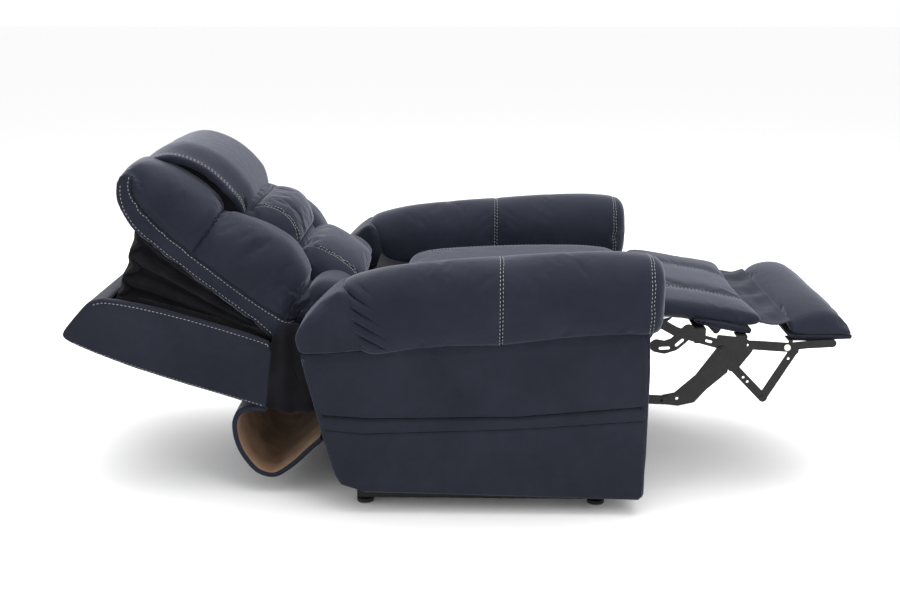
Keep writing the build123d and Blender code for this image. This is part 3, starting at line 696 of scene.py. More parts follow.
# the seam cords are painted shade: dark lining laid in the joints in place of their shadow
def flush_seam_shade():
    for key, bm in SEAM_SHADE_SETS.items():
        me = bpy.data.meshes.new("painted_seam_shade_" + key)
        bmesh.ops.recalc_face_normals(bm, faces=bm.faces)
        bm.to_mesh(me)
        bm.free()
        me.polygons.foreach_set("use_smooth", [True] * len(me.polygons))
        me.materials.append(DARK_LINING_AND_SEAM_SHADE)
        ob = bpy.data.objects.new("painted_seam_shade_" + key, me)
        scene.collection.objects.link(ob)
        SEAM_SHADE_CORDS[key] = ob


SEAM_SHADE_CORDS = {}


def flush_stitches():
    made = {}
    for key, bm in STITCH_SETS.items():
        me = bpy.data.meshes.new("stitching_" + key)
        bmesh.ops.recalc_face_normals(bm, faces=bm.faces)
        bm.to_mesh(me)
        bm.free()
        me.polygons.foreach_set("use_smooth", [True] * len(me.polygons))
        me.materials.append(THREAD)
        ob = bpy.data.objects.new("stitching_" + key, me)
        scene.collection.objects.link(ob)
        made[key] = ob
    return made


def mirrored(ob, name):
    me = ob.data.copy()
    me.transform(Matrix.Diagonal((-1, 1, 1, 1)))
    me.flip_normals()
    o2 = bpy.data.objects.new(name, me)
    scene.collection.objects.link(o2)
    return o2


def mirror_line(line):
    return [Vector((-p[0], p[1], p[2])) for p in line]


# headrest frame: s runs up the back, t out towards the sitter
A0 = (0.470, 0.430)
CA, SA = math.cos(math.radians(42)), math.sin(math.radians(42))


def st(s, t):
    """Back cushion coordinates (mm) to (y, z) in metres."""
    return (A0[0] + (CA * s - SA * t) / 1000, A0[1] + (SA * s + CA * t) / 1000)


def to_st(y, z):
    dy, dz = (y - A0[0]) * 1000, (z - A0[1]) * 1000
    return (CA * dy + SA * dz, -SA * dy + CA * dz)


# ================================================================== arms (built for -X, the near side, then mirrored)
TOP = [(-0.52, 0.655), (-0.462, 0.657), (-0.430, 0.661), (-0.370, 0.664), (-0.240, 0.659), (-0.107, 0.650), (0.0, 0.642),
       (0.121, 0.628), (0.190, 0.612), (0.245, 0.592), (0.30, 0.565)]
BOT = [(-0.52, 0.486), (-0.457, 0.486), (-0.119, 0.457), (0.2, 0.433), (0.378, 0.416)]
X_IN, X_OUT = 0.300, 0.4565


def roll_point(u, a):
    """Surface of the arm roll: u from 0 (front) to 1 (gathered rear), a around the section."""
    y = -0.491 + u * (0.262 + 0.491)
    zt, zb = hermite_table(TOP, y), lerp_table(BOT, y) - 0.015
    k = 1.0
    dy = 0.0
    ef = (y + 0.491) / 0.046
    if ef < 1:
        k = (1 - (1 - max(ef, 0)) ** 2.6) ** (1 / 2.6)
    er = (0.262 - y) / 0.05
    if er < 1:
        k = min(k, 0.62 + 0.38 * math.sqrt(max(0.0, 1 - (1 - max(er, 0)) ** 2)))
    c, s = math.cos(a), math.sin(a)
    nt, nb = 2.35, 4.6
    n = nt if s > 0 else nb
    ax, bz = (X_OUT - X_IN) / 2, (zt - zb) / 2
    shrink = 0.046 * (1 - k) if ef < 1 else 0.045 * (1 - k) / 0.38 * 0.6
    ax -= shrink
    bz -= shrink
    px = math.copysign(abs(c) ** (2 / n), c) * ax
    pz = math.copysign(abs(s) ** (2 / n), s) * bz
    zc = (zt + zb) / 2
    # the rear end leans with the backrest
    lean = smoothstep(0.0, 0.26, y) * 0.36
    return Vector((-(X_IN + X_OUT) / 2 + px * -1, y + lean * pz + dy, zc + pz))


def roll_rings(nu=120, na=96):
    rings = []
    us = []
    for i in range(14):
        us.append((i / 14) ** 1.8 * 0.062)
    for i in range(nu + 1):
        us.append(0.062 + (0.935 - 0.062) * i / nu)
    for i in range(1, 13):
        us.append(0.935 + 0.065 * (1 - (1 - i / 12) ** 1.8))
    for u in us:
        rings.append([roll_point(u, math.tau * j / na) for j in range(na)])
    return rings


arm_roll = rings_object("arm_roll_right", roll_rings(), NAVY)


def section_line(y, a0, a1, n=40):
    u = (y + 0.491) / 0.753
    return [roll_point(u, a0 + (a1 - a0) * i / n) for i in range(n + 1)]


# a = 0 faces outward (-X), pi/2 is the crest, pi faces the seat
mid_seam = section_line(-0.107, -1.15, math.pi + 0.9)
front_seam = section_line(-0.462, -1.25, math.pi + 1.1)
cushion(arm_roll, cap=0.009, pressure=2.0, shrink=-0.012, pins=(mid_seam,), pin_r=0.008)

# rear gusset: a flat stuffed wedge behind the roll
gusset = pad("arm_gusset_right",
             [(0.262, 0.578), (0.284, 0.584), (0.340, 0.528), (0.392, 0.473), (0.386, 0.440), (0.379, 0.420), (0.300, 0.424),
              (0.205, 0.434), (0.212, 0.470), (0.232, 0.530)],
             -0.447, -0.302, NAVY_SIDE, r=0.012, rounds=2, nx=30)
cushion(gusset, cap=0.006, pressure=2.0, shrink=-0.01)

# outer side panel, in three sewn bands
PANEL_REAR = [(0.041, 0.205), (0.056, 0.216), (0.081, 0.291), (0.104, 0.305), (0.178, 0.324), (0.260, 0.343), (0.411, 0.380), (0.44, 0.382)]
PANEL_FRONT = [(0.041, -0.452), (0.057, -0.466), (0.287, -0.464), (0.49, -0.461)]


def panel_yz(s, t):
    """s from front to rear, t from the lower to the upper edge."""
    zb_f, zb_r = 0.041, 0.058
    zt_f, zt_r = 0.487, 0.418
    z = (zb_f + (zb_r - zb_f) * s) * (1 - t) + (zt_f + (zt_r - zt_f) * s) * t
    yf = lerp_table(PANEL_FRONT, z)
    yr = lerp_table(PANEL_REAR, z)
    y = yf + (yr - yf) * s
    zt = lerp_table(BOT, y) + 0.004
    return y, min(z, zt)


def seam_z(kind, y):
    if kind == 2:
        return lerp_table([(-0.457, 0.290), (-0.152, 0.262), (0.210, 0.254), (0.343, 0.262)], y)
    return lerp_table([(-0.446, 0.254), (-0.152, 0.231), (0.232, 0.215), (0.336, 0.226)], y)


def side_panel():
    ns, nt = 210, 150
    verts, faces = [], []
    for j in range(nt + 1):
        for i in range(ns + 1):
            s, t = i / ns, j / nt
            y, z = panel_yz(s, t)
            # distance to the border and to the two seams
            db = min(s * 0.75, (1 - s) * 0.75, t * 0.4)
            x = 0.4405
            if db < 0.012:
                q = 1 - db / 0.012
                x -= 0.012 * (1 - math.sqrt(max(0, 1 - q * q)))
            d2, d3 = z - seam_z(2, y), z - seam_z(3, y)
            x -= 0.0075 * math.exp(-(d2 / 0.0050) ** 2)
            x -= 0.0030 * math.exp(-(d3 / 0.0032) ** 2)
            # the upper band tucks in under the roll, and each band is softly crowned
            x -= 0.006 * smoothstep(0.03, 0.0, (lerp_table(BOT, y) + 0.004) - z)
            if d2 > 0:
                x += 0.003 * math.sin(math.pi * min(1, d2 / 0.19))
            if d2 < 0 and d3 > 0:
                x += 0.0022 * math.sin(math.pi * min(1, -d2 / 0.034))
            if d3 < 0:
                x += 0.004 * math.sin(math.pi * min(1, -d3 / 0.19))
            w = noise.noise(Vector((y * 3.1, z * 4.3, 2.0))) * 0.0016 + noise.noise(Vector((y * 9, z * 11, 5.0))) * 0.0006
            verts.append((-(x + w), y, z))
    base = len(verts)
    for v in list(verts):
        verts.append((-0.4275, v[1], v[2]))
    W = ns + 1
    for j in range(nt):
        for i in range(ns):
            a = j * W + i
            faces.append((a, a + 1, a + W + 1, a + W))
            faces.append((base + a, base + a + W, base + a + W + 1, base + a + 1))
    rim = [i for i in range(W)] + [j * W + ns for j in range(1, nt + 1)] + [nt * W + i for i in range(ns - 1, -1, -1)] + [j * W for j in range(nt - 1, 0, -1)]
    for k, a in enumerate(rim):
        b = rim[(k + 1) % len(rim)]
        faces.append((a, base + a, base + b, b))
    return mesh_object("arm_side_right", verts, faces, NAVY_SIDE)


side_r = side_panel()

# front panel of the arm, under the roll
front_r = pad("arm_front_right", [(-0.466, 0.05), (-0.449, 0.05), (-0.447, 0.486), (-0.466, 0.488)], -0.4400, -0.3060, NAVY_SIDE,
              r=0.008, n=160, rounds=1, nx=24)
ruffle(front_r, lambda x, y, z: 0.004 * math.sin(math.pi * (abs(x) - 0.306) / 0.134) * smoothstep(0.05, 0.1, z) if y < -0.455 else 0)
rear_r = pad("arm_rear_right", [(0.381, 0.414), (0.344, 0.262), (0.325, 0.180), (0.306, 0.104), (0.290, 0.100), (0.311, 0.182),
                                (0.330, 0.264), (0.364, 0.414)], -0.4400, -0.338, NAVY_SIDE, r=0.006, n=160, rounds=1, nx=20)

# ================================================================== backrest shell
SHELL = [(0.4595, 0.411), (0.520, 0.436), (0.641, 0.4735), (0.763, 0.507), (0.876, 0.529), (0.915, 0.522), (0.932, 0.508),
         (0.975, 0.462), (0.9945, 0.437), (0.992, 0.423), (0.972, 0.410), (0.900, 0.376), (0.777, 0.331), (0.652, 0.291),
         (0.527, 0.252), (0.492, 0.240), (0.484, 0.243), (0.473, 0.320)]
TRAY = [(0.4595, 0.411), (0.473, 0.320), (0.484, 0.243), (0.492, 0.240), (0.527, 0.252), (0.652, 0.291), (0.777, 0.331), (0.900, 0.376),
        (0.972, 0.410), (0.992, 0.423), (0.9945, 0.437), (0.975, 0.462), (0.932, 0.508), (0.915, 0.522), (0.876, 0.529),
        (0.870, 0.516), (0.912, 0.502), (0.966, 0.436), (0.966, 0.424), (0.900, 0.390), (0.777, 0.345), (0.652, 0.305),
        (0.527, 0.266), (0.498, 0.260), (0.486, 0.330), (0.474, 0.412)]
shell = pad("shell_cover", TRAY, -0.327, 0.327, NAVY_SIDE, r=0.004, n=360, rounds=1, nx=60)
shell_side = pad("shell_side_right", SHELL, -0.3345, -0.316, NAVY_SIDE, r=0.0075, n=340, rounds=1, nx=10)


def soften(x, y, z):
    return 0.0022 * noise.noise(Vector((y * 5.0, z * 7.0, 3.0))) + 0.0009 * noise.noise(Vector((y * 14.0, z * 17.0, 8.0)))


ruffle(shell_side, soften)

# ================================================================== back cushions
SIDE_PROFILE = [(-12, -6), (58, -6), (206, -18), (357, -25), (420, -23), (460, -12), (498, 8), (524, 38), (536, 74), (524, 102),
                (498, 122), (456, 138), (413, 147), (372, 152), (335, 152), (306, 146), (292, 138), (278, 142), (251, 154),
                (198, 174), (150, 187), (110, 190), (78, 182), (50, 172), (28, 160), (14, 146), (2, 146), (-16, 150), (-28, 136),
                (-30, 100), (-26, 60), (-18, 20)]
BAND_T = [(-25, 61), (64, 42), (186, 34), (306, 27), (432, 30), (490, 50), (514, 82), (526, 118)]


def side_weight(y, z, x):
    s, t = to_st(y, z)
    # flat along the boxed band, drawn in over the puffed face
    band_t = lerp_table(BAND_T, s)
    w = smoothstep(band_t * 0.4, band_t + 40, t)
    return w


def side_shape(co):
    s, t = to_st(co.y, co.z)
    ax = abs(co.x)
    bt = lerp_table(BAND_T, s)
    # three puffs along the outer face, pulled in at the seams
    out = smoothstep(0.24, 0.312, ax) * smoothstep(bt - 8, bt + 45, t)
    if s < 12:
        q = abs(math.sin(math.pi * (s + 60) / 72)) * 0.6
    elif s < 290:
        q = abs(math.sin(math.pi * (s - 12) / 278))
    else:
        q = abs(math.sin(math.pi * (s - 290) / 250))
    bulge = 0.013 * out * math.sqrt(q)
    ax2 = ax + bulge - 0.006 * out
    return Vector((-ax2, co.y, co.z))


bolster = pad("side_bolster_cover_right", SIDE_PROFILE and [st(*p) for p in SIDE_PROFILE], -0.313, -0.112, NAVY, r=0.085, n=220,
              weight=side_weight, shape=side_shape, nx=40, power=2.2)


def band_line(table, x):
    return smooth_open([Vector((x, *st(s, t))) for s, t in table], 2)


BAND_IN = [(-26, 60), (64, 42), (186, 34), (306, 27), (420, 28), (468, 40), (496, 60), (508, 84)]
BAND_OUT = [(-14, 4), (58, 3), (206, -9), (357, -16), (420, -14), (466, 0), (502, 26), (522, 58)]
puff_seam = [Vector((-0.318, *st(278, 32))), Vector((-0.318, *st(284, 80))), Vector((-0.295, *st(289, 122))), Vector((-0.25, *st(292, 146))),
             Vector((-0.20, *st(292, 148))), Vector((-0.15, *st(290, 140)))]
low_seam = [Vector((-0.318, *st(6, 54))), Vector((-0.318, *st(10, 90))), Vector((-0.300, *st(10, 125))), Vector((-0.25, *st(9, 146))),
            Vector((-0.19, *st(9, 146))), Vector((-0.14, *st(9, 140)))]
cushion(bolster, cap=0.018, pressure=3.5, shrink=-0.03, pins=(band_line(BAND_IN, -0.316), smooth_open(puff_seam, 1), smooth_open(low_seam, 1)), pin_r=0.011)

# centre column: two stuffed channels on the headrest section
MID_PROFILE = [(6, 30), (60, 14), (200, 0), (300, -8), (310, 60), (300, 150), (262, 196), (240, 200), (222, 222), (190, 234), (163, 236),
               (130, 228), (104, 210), (94, 196), (84, 190), (60, 140), (30, 80)]


def crown(half, amount, power=2.0):
    def f(co):
        s, t = to_st(co.y, co.z)
        k = 1 - amount * (abs(co.x) / half) ** power
        if t > 60:
            t = 60 + (t - 60) * k
        y, z = st(s, t)
        return Vector((co.x, y, z))
    return f


mid = pad("middle_bolsters_cover", [st(*p) for p in MID_PROFILE], -0.172, 0.172, NAVY, r=0.05, n=200, shape=crown(0.17, 0.22, 2.6),
          nx=50, power=2.2)
mid_seams = [[Vector((x / 100, *st(94, 192 - 40 * (abs(x) / 17) ** 2.6))) for x in range(-15, 16, 3)],
             [Vector((x / 100, *st(240, 196 - 40 * (abs(x) / 17) ** 2.6))) for x in range(-15, 16, 3)]]
col_seams = {sx: smooth_open([Vector((sx * 0.135, *st(s_, t_))) for s_, t_ in
                              [(100, 186), (118, 204), (145, 216), (172, 219), (200, 210), (226, 196), (238, 184)]], 2) for sx in (-1, 1)}
low_col = {sx: smooth_open([Vector((sx * 0.135, *st(s_, t_))) for s_, t_ in
                            [(-96, 205), (-84, 224), (-50, 226), (-10, 224), (30, 212), (58, 198)]], 2) for sx in (-1, 1)}
cushion(mid, cap=0.018, pressure=3.5, shrink=-0.03, pins=mid_seams, pin_r=0.010)

# head pillow core and the flap that hoods the side bolsters
CORE = [(250, 60), (247, 150), (256, 176), (280, 190), (304, 200), (350, 205), (399, 203), (445, 189), (486, 165), (504, 136), (512, 104),
        (511, 70), (496, 30), (468, 0), (420, -14), (300, -8)]
core = pad("head_pillow_core", [st(*p) for p in CORE], -0.178, 0.178, DARK_LINING_AND_SEAM_SHADE, r=0.03, n=200, nx=40)
cushion(core, cap=0.012, pressure=2.5, shrink=-0.015)
HOOD = [(246, 160), (254, 186), (280, 205), (304, 214), (350, 221), (399, 219), (445, 206), (486, 184), (512, 150), (527, 108), (531, 62),
        (519, 60), (515, 102), (501, 140), (476, 170), (440, 190), (398, 203), (350, 205), (306, 199), (284, 191), (266, 176), (259, 158)]


def hood_shape(co):
    s, t = to_st(co.y, co.z)
    ax = abs(co.x)
    drop = 26 * smoothstep(0.10, 0.215, ax) ** 1.5
    squeeze = 1.0
    if s < 300:
        squeeze = 0.80 + 0.20 * smoothstep(240, 320, s)
    if s > 470:
        squeeze = min(squeeze, 0.93 + 0.07 * smoothstep(545, 470, s))
    y, z = st(s - 0.10 * drop, t - drop)
    return Vector((co.x * squeeze, y, z))


hood = pad("head_pillow_cover", [st(*p) for p in HOOD], -0.214, 0.214, NAVY, r=0.007, n=300, shape=hood_shape, nx=60)
remesh(hood, 0.0045)

# lower back: one centre channel and two side puffs, between the arms
LOW_C = [(-96, 196), (-104, 216), (-94, 236), (-60, 240), (-10, 238), (37, 228), (66, 214), (78, 200), (60, 140), (30, 70), (-10, 40),
         (-60, 70), (-80, 140)]
low_c = pad("lower_back_cover", [st(*p) for p in LOW_C], -0.172, 0.172, NAVY, r=0.05, n=180, shape=crown(0.17, 0.20, 2.6), nx=40, power=2.2)
cushion(low_c, cap=0.016, pressure=3.0, shrink=-0.03)
LOW_S = [(-100, 186), (-102, 200), (-74, 208), (-40, 206), (-16, 192), (-2, 172), (2, 150), (-6, 120), (-10, 60), (-24, 40),
         (-50, 60), (-80, 130)]
low_s = pad("lower_back_side_right", [st(*p) for p in LOW_S], -0.293, -0.118, NAVY, r=0.045, n=160, nx=30, power=2.2)
cushion(low_s, cap=0.014, pressure=3.0, shrink=-0.03)

# ================================================================== seat
SEAT = [(-0.470, 0.430), (-0.473, 0.470), (-0.468, 0.505), (-0.450, 0.530), (-0.410, 0.542), (-0.300, 0.545), (-0.150, 0.541),
        (0.000, 0.534), (0.090, 0.527), (0.128, 0.515), (0.142, 0.490), (0.148, 0.463), (0.190, 0.454), (0.228, 0.449), (0.230, 0.432)]


def seat_shape(co):
    w = smoothstep(0.15, 0.285, abs(co.x)) ** 1.3
    z = co.z
    if z > 0.46:
        z -= 0.022 * w * (z - 0.46) / 0.08
    return Vector((co.x, co.y, z))


seat = pad("seat_cover", SEAT, -0.284, 0.284, NAVY, r=0.03, n=260, shape=seat_shape, nx=60)
seat_seams = [[Vector((sx, y / 100, 0.540)) for y in range(-45, 13, 2)] for sx in (-0.20, 0.20)]
cushion(seat, cap=0.012, pressure=2.0, shrink=-0.015)

# ================================================================== footrest pads
LEG = [(-0.486, 0.468), (-0.546, 0.470), (-0.640, 0.461), (-0.738, 0.4445), (-0.757, 0.447), (-0.768, 0.460), (-0.754, 0.475),
       (-0.715, 0.488), (-0.654, 0.500), (-0.580, 0.512), (-0.534, 0.520), (-0.499, 0.520), (-0.488, 0.508)]


def pad_crown(amount, half=0.282):
    def f(co):
        w = (abs(co.x) / half) ** 3
        return Vector((co.x, co.y, co.z - amount * w * smoothstep(0.462, 0.50, co.z)))
    return f


leg = pad("leg_pad_cover", LEG, -0.281, 0.281, NAVY, r=0.014, n=240, shape=pad_crown(0.010), nx=70)


def leg_seam(x):
    return [Vector((x, y / 1000, hermite_table([(-0.754, 0.475), (-0.715, 0.488), (-0.654, 0.500), (-0.580, 0.512), (-0.534, 0.520), (-0.499, 0.520)], y / 1000)))
            for y in range(-750, -499, 8)]


cushion(leg, cap=0.010, pressure=2.2, shrink=-0.02, pins=(leg_seam(-0.13), leg_seam(0.13)), pin_r=0.007)
FOOT = [(-0.838, 0.4325), (-0.880, 0.4318), (-0.940, 0.4316), (-0.993, 0.4316), (-0.9955, 0.4330), (-0.9945, 0.4375), (-0.990, 0.452), (-0.980, 0.470),
        (-0.963, 0.485), (-0.936, 0.4955), (-0.905, 0.4965), (-0.874, 0.489), (-0.850, 0.474), (-0.838, 0.452)]


def foot_shape(co):
    w = (abs(co.x) / 0.282) ** 4
    h = smoothstep(0.4318, 0.470, co.z)
    return Vector((co.x + math.copysign(0.010 * w * (1 - h), co.x) * 0.2, co.y, co.z - 0.016 * w * h))


foot = pad("foot_pad_cover", FOOT, -0.2825, 0.2825, NAVY, r=0.026, n=220, shape=foot_shape, nx=70,
           weight=lambda y, z, x: smoothstep(0.4318, 0.448, z))
cushion(foot, cap=0.006, pressure=2.0, shrink=-0.012,
        pins=([Vector((-0.2825, y / 1000, 0.4325)) for y in range(-990, -840, 6)], [Vector((0.2825, y / 1000, 0.4325)) for y in range(-990, -840, 6)],
              [Vector((x / 1000, -0.994, 0.4345)) for x in range(-282, 283, 6)]), pin_r=0.008)
# thin padded base under the foot cushion
foot_base = pad("foot_pad_base", [(-0.838, 0.4165), (-0.990, 0.4165), (-0.996, 0.424), (-0.993, 0.4305), (-0.838, 0.431)], -0.283, 0.283,
                NAVY_SIDE, r=0.006, n=160, nx=40, rounds=1)
leg_base = pad("leg_pad_base", [(-0.598, 0.4555), (-0.7355, 0.4285), (-0.7420, 0.4360), (-0.7400, 0.4465), (-0.598, 0.472)], -0.2825, 0.2825, NAVY_SIDE,
               r=0.005, n=160, nx=40, rounds=1)

# ------------------------------------------------------------------ simulate, then refine
run_sims()
FINE = [arm_roll, gusset, bolster, mid, core, hood, low_c, low_s, seat, leg, foot]
for ob in FINE:
    relax(ob, 1, 0.5)
    subdivide(ob, 1)

# ================================================================== seams and stitching
# arm roll
tr = bvh(arm_roll)
ms = line_on(tr, mid_seam, 0.003)
fs = line_on(tr, front_seam, 0.003)
groove(arm_roll, [ms, fs], 0.0028, 0.0035)
# gathers behind the roll's rear seam
GATHER = [(0.575, 0.268), (0.56, 0.262), (0.53, 0.25), (0.50, 0.238), (0.47, 0.224), (0.45, 0.214)]


def gathers(x, y, z):
    if y < 0.13 or x > -0.36 or z < 0.44:
        return 0
    edge = lerp_table(sorted((a, b) for a, b in GATHER), z)
    d = edge - y
    if d < -0.02 or d > 0.09:
        return 0
    fade = smoothstep(0.075, 0.008, d) * smoothstep(0.60, 0.575, z)
    ph = z * 165 + d * 120
    return -0.0085 * fade * max(0.0, math.sin(ph)) ** 4 + 0.002 * fade * max(0.0, -math.sin(ph))


ruffle(arm_roll, gathers)
tr = bvh(arm_roll)
double_stitch("arm_right", arm_roll, line_on(tr, mid_seam, 0.003), tree=tr)
double_stitch("arm_right", arm_roll, line_on(tr, front_seam, 0.003), tree=tr)

# side bolster: boxed band with two rows of stitches
tr = bvh(bolster)
bi = line_on(tr, band_line(BAND_IN, -0.40), 0.003, direction=(1, 0, 0))
bo = line_on(tr, band_line(BAND_OUT, -0.40), 0.003, direction=(1, 0, 0))
ps = line_on(tr, smooth_open(puff_seam, 2), 0.003)
ls = line_on(tr, smooth_open(low_seam, 2), 0.003)
groove(bolster, [bi], 0.0035, 0.0032)
groove(bolster, [ps, ls], 0.0035, 0.0025)
groove(bolster, [ps, ls], 0.0050, 0.0120)
probe = side_shift(tr, bi[:40], 0.01)
BAND_SIDE = 1 if to_st(probe[10].y, probe[10].z)[1] < to_st(bi[10].y, bi[10].z)[1] else -1
# short puckers that run off the band seam at the head end
kdb = KDTree(len(bi))
for i_, p_ in enumerate(bi):
    kdb.insert(p_, i_)
kdb.balance()


def puckers(x, y, z):
    s, t = to_st(y, z)
    if s < 330 or x > -0.2:
        return 0
    co_, idx, d = kdb.find(Vector((x, y, z)))
    if d > 0.05 or d < 0.003:
        return 0
    a = idx * 0.003
    return -0.0018 * smoothstep(0.05, 0.004, d) * (0.5 + 0.5 * math.sin(a * 420 + 3 * noise.noise(Vector((a * 30, 0, 0))))) * smoothstep(330, 420, s)


ruffle(bolster, puckers)
tr = bvh(bolster)
stitch("bolster_right", bolster, side_shift(tr, bi, BAND_SIDE * 0.0075), tree=tr)
stitch("bolster_right", bolster, bo, tree=tr)

# centre channels: deep plain creases between them, stitched seams along their edges
tr = bvh(mid)
ml = [line_on(tr, m_, 0.003) for m_ in mid_seams]
groove(mid, ml, 0.005, 0.006)
cl = [line_on(tr, c_, 0.003) for c_ in col_seams.values()]
groove(mid, cl, 0.0035, 0.0035)
tr = bvh(mid)
for c_ in col_seams.values():
    double_stitch("middle", mid, line_on(tr, c_, 0.003), gap=0.011, tree=tr)
tr = bvh(low_c)
groove(low_c, [line_on(tr, c_, 0.003) for c_ in low_col.values()], 0.0035, 0.0035)
tr = bvh(low_c)
for c_ in low_col.values():
    double_stitch("lower", low_c, line_on(tr, c_, 0.003), gap=0.011, tree=tr)

# hood: two rows along each side edge
tr = bvh(hood)
for sx in (-1, 1):
    rim = []
    for s, t in [(254, 186), (280, 205), (304, 214), (350, 221), (399, 219), (445, 206), (486, 184), (512, 150), (526, 110), (530, 80)]:
        p = hood_shape(Vector((sx * 0.203, *st(s, t))))
        rim.append(p)
    rim = line_on(tr, smooth_open(rim, 2), 0.003)
    double_stitch("hood", hood, rim, gap=0.007, tree=tr)

# leg pad: two lengthwise rows of double stitching
tr = bvh(leg)
for x in (-0.13, 0.13):
    l_ = line_on(tr, leg_seam(x), 0.003)
    groove(leg, [l_], 0.0025, 0.004)
tr = bvh(leg)
for x in (-0.13, 0.13):
    l_ = line_on(tr, leg_seam(x), 0.003)
    double_stitch("leg", leg, l_, gap=0.012, tree=tr)

# shell: rows along its front and rear edges, both sides
tr = bvh(shell_side)
for sx in (-1,):
    for path in ([(0.470, 0.408), (0.520, 0.4275), (0.641, 0.465), (0.763, 0.4985), (0.872, 0.519), (0.905, 0.515), (0.918, 0.506)],
                 [(0.496, 0.2485), (0.527, 0.2585), (0.652, 0.2975), (0.777, 0.3375), (0.900, 0.3825), (0.972, 0.417)]):
        ln = line_on(tr, smooth_open([Vector((sx * 0.36, *p)) for p in path], 1), 0.003, direction=(-sx, 0, 0))
        stitch("shell_right", shell_side, ln, tree=tr)

# seat
tr = bvh(seat)
for m_ in seat_seams:
    l_ = line_on(tr, m_, 0.003, direction=(0, 0, -1))
    groove(seat, [l_], 0.004, 0.005)
tr = bvh(seat)
for m_ in seat_seams:
    double_stitch("seat", seat, line_on(tr, m_, 0.003, direction=(0, 0, -1)), gap=0.012, tree=tr)
# foot pad edge seam
groove(foot, [[Vector((x / 1000, -0.990, 0.4325)) for x in range(-270, 271, 10)]], 0.003, 0.003)

# painted seam shade: dark cords laid along the sewn joints and creases, standing in for their shadow
tr = bvh(side_r)
for kind, r_ in ((2, 0.0016), (3, 0.0009)):
    a_, b_ = (-0.4615, 0.3425) if kind == 2 else (-0.4625, 0.3355)
    ln = [Vector((-0.46, y_, seam_z(kind, y_))) for y_ in np.linspace(a_ + 0.004, b_ - 0.006, 60)]
    seam("arm_right", tr, line_on(tr, ln, 0.005, direction=(1, 0, 0)), r_)
tr = bvh(gusset)
tr2 = bvh(arm_roll)
seam("arm_right", tr2, line_on(tr2, mid_seam, 0.004), 0.0009)
tr = bvh(bolster)
seam("bolster_right", tr, bi, 0.0010)
seam("bolster_right", tr, ps, 0.0013)
seam("bolster_right", tr, ls, 0.0013)
tr = bvh(mid)
for m_ in ml:
    seam("middle", tr, m_, 0.0012)
tr = bvh(seat)
for m_ in seat_seams:
    seam("seat", tr, line_on(tr, m_, 0.004, direction=(0, 0, -1)), 0.0009)
tr = bvh(leg)
for x in (-0.13, 0.13):
    seam("leg", tr, line_on(tr, leg_seam(x), 0.004), 0.0008)
flush_seam_shade()
STITCHES = flush_stitches()

# ------------------------------------------------------------------ mirror to the other side
pairs = [(arm_roll, "arm_roll_left"), (gusset, "arm_gusset_left"), (side_r, "arm_side_left"), (front_r, "arm_front_left"),
         (rear_r, "arm_rear_left"), (shell_side, "shell_side_left"), (bolster, "side_bolster_cover_left"), (low_s, "lower_back_side_left")]
left = {n: mirrored(o, n) for o, n in pairs}
for key, other in (("arm_right", "arm_left"), ("bolster_right", "bolster_left"), ("shell_right", "shell_left")):
    o2 = mirrored(STITCHES[key], "stitching_" + other)
    STITCHES[other] = o2

# ================================================================== cloth between the parts
# pleated bellows between the shell and the headrest section


def bellows():
    A, B, N = [], [], []
    shell_line = [(0.474, 0.404), (0.520, 0.424), (0.641, 0.462), (0.763, 0.495), (0.862, 0.516)]
    cush_line = [(0.478, 0.440), (0.522, 0.476), (0.640, 0.563), (0.757, 0.657), (0.800, 0.700)]
    n_side, n_top = 70, 60

    def at(line, u):
        k = u * (len(line) - 1)
        i = min(int(k), len(line) - 2)
        t = k - i
        return (line[i][0] * (1 - t) + line[i + 1][0] * t, line[i][1] * (1 - t) + line[i + 1][1] * t)
    for sx in (-1, 1):
        col = []
        for i in range(n_side + 1):
            u = i / n_side
            col.append((Vector((sx * 0.306, *at(shell_line, u))), Vector((sx * 0.300, *at(cush_line, u))), Vector((sx, 0, 0)), u))
        if sx < 0:
            path = col
        else:
            tail = col
    # across the top
    for i in range(1, n_top):
        x = -0.306 + 0.612 * i / n_top
        path.append((Vector((x, 0.868, 0.518)), Vector((x * 0.98, 0.803, 0.703)), Vector((0, 0.94, 0.34)), 1.0))
    path += tail[::-1]
    nv = 40
    verts, faces = [], []
    for k, (a, b, n, u) in enumerate(path):
        h = (b - a).length
        for j in range(nv + 1):
            v = j / nv
            w = 3.0 * v
            tri = abs((w % 1.0) - 0.5) * 2
            tri = tri * tri * (3 - 2 * tri)
            amp = 0.22 * h * (0.8 + 0.3 * noise.noise(Vector((k * 0.06, j * 0.4, 0))))
            amp = min(amp, 0.030) * math.sin(math.pi * min(1, max(0, v * 1.0))) ** 0.5
            wob = 0.004 * noise.noise(Vector((k * 0.13, j * 0.2, 3.0))) * min(1, h / 0.05)
            p = a.lerp(b, v) - n * (0.006 + (1 - tri) * amp) + n * wob
            sag = -0.006 * math.sin(math.pi * v) * min(1, h / 0.1)
            p.z += sag
            verts.append(p)
    W = nv + 1
    for k in range(len(path) - 1):
        for j in range(nv):
            a = k * W + j
            faces.append((a, a + 1, a + W + 1, a + W))
    ob = mesh_object("bellows_cover", verts, faces, BLACK_CLOTH)
    md = ob.modifiers.new("t", "SOLIDIFY")
    md.thickness = 0.0015
    apply_mods(ob)
    return ob


bel = bellows()


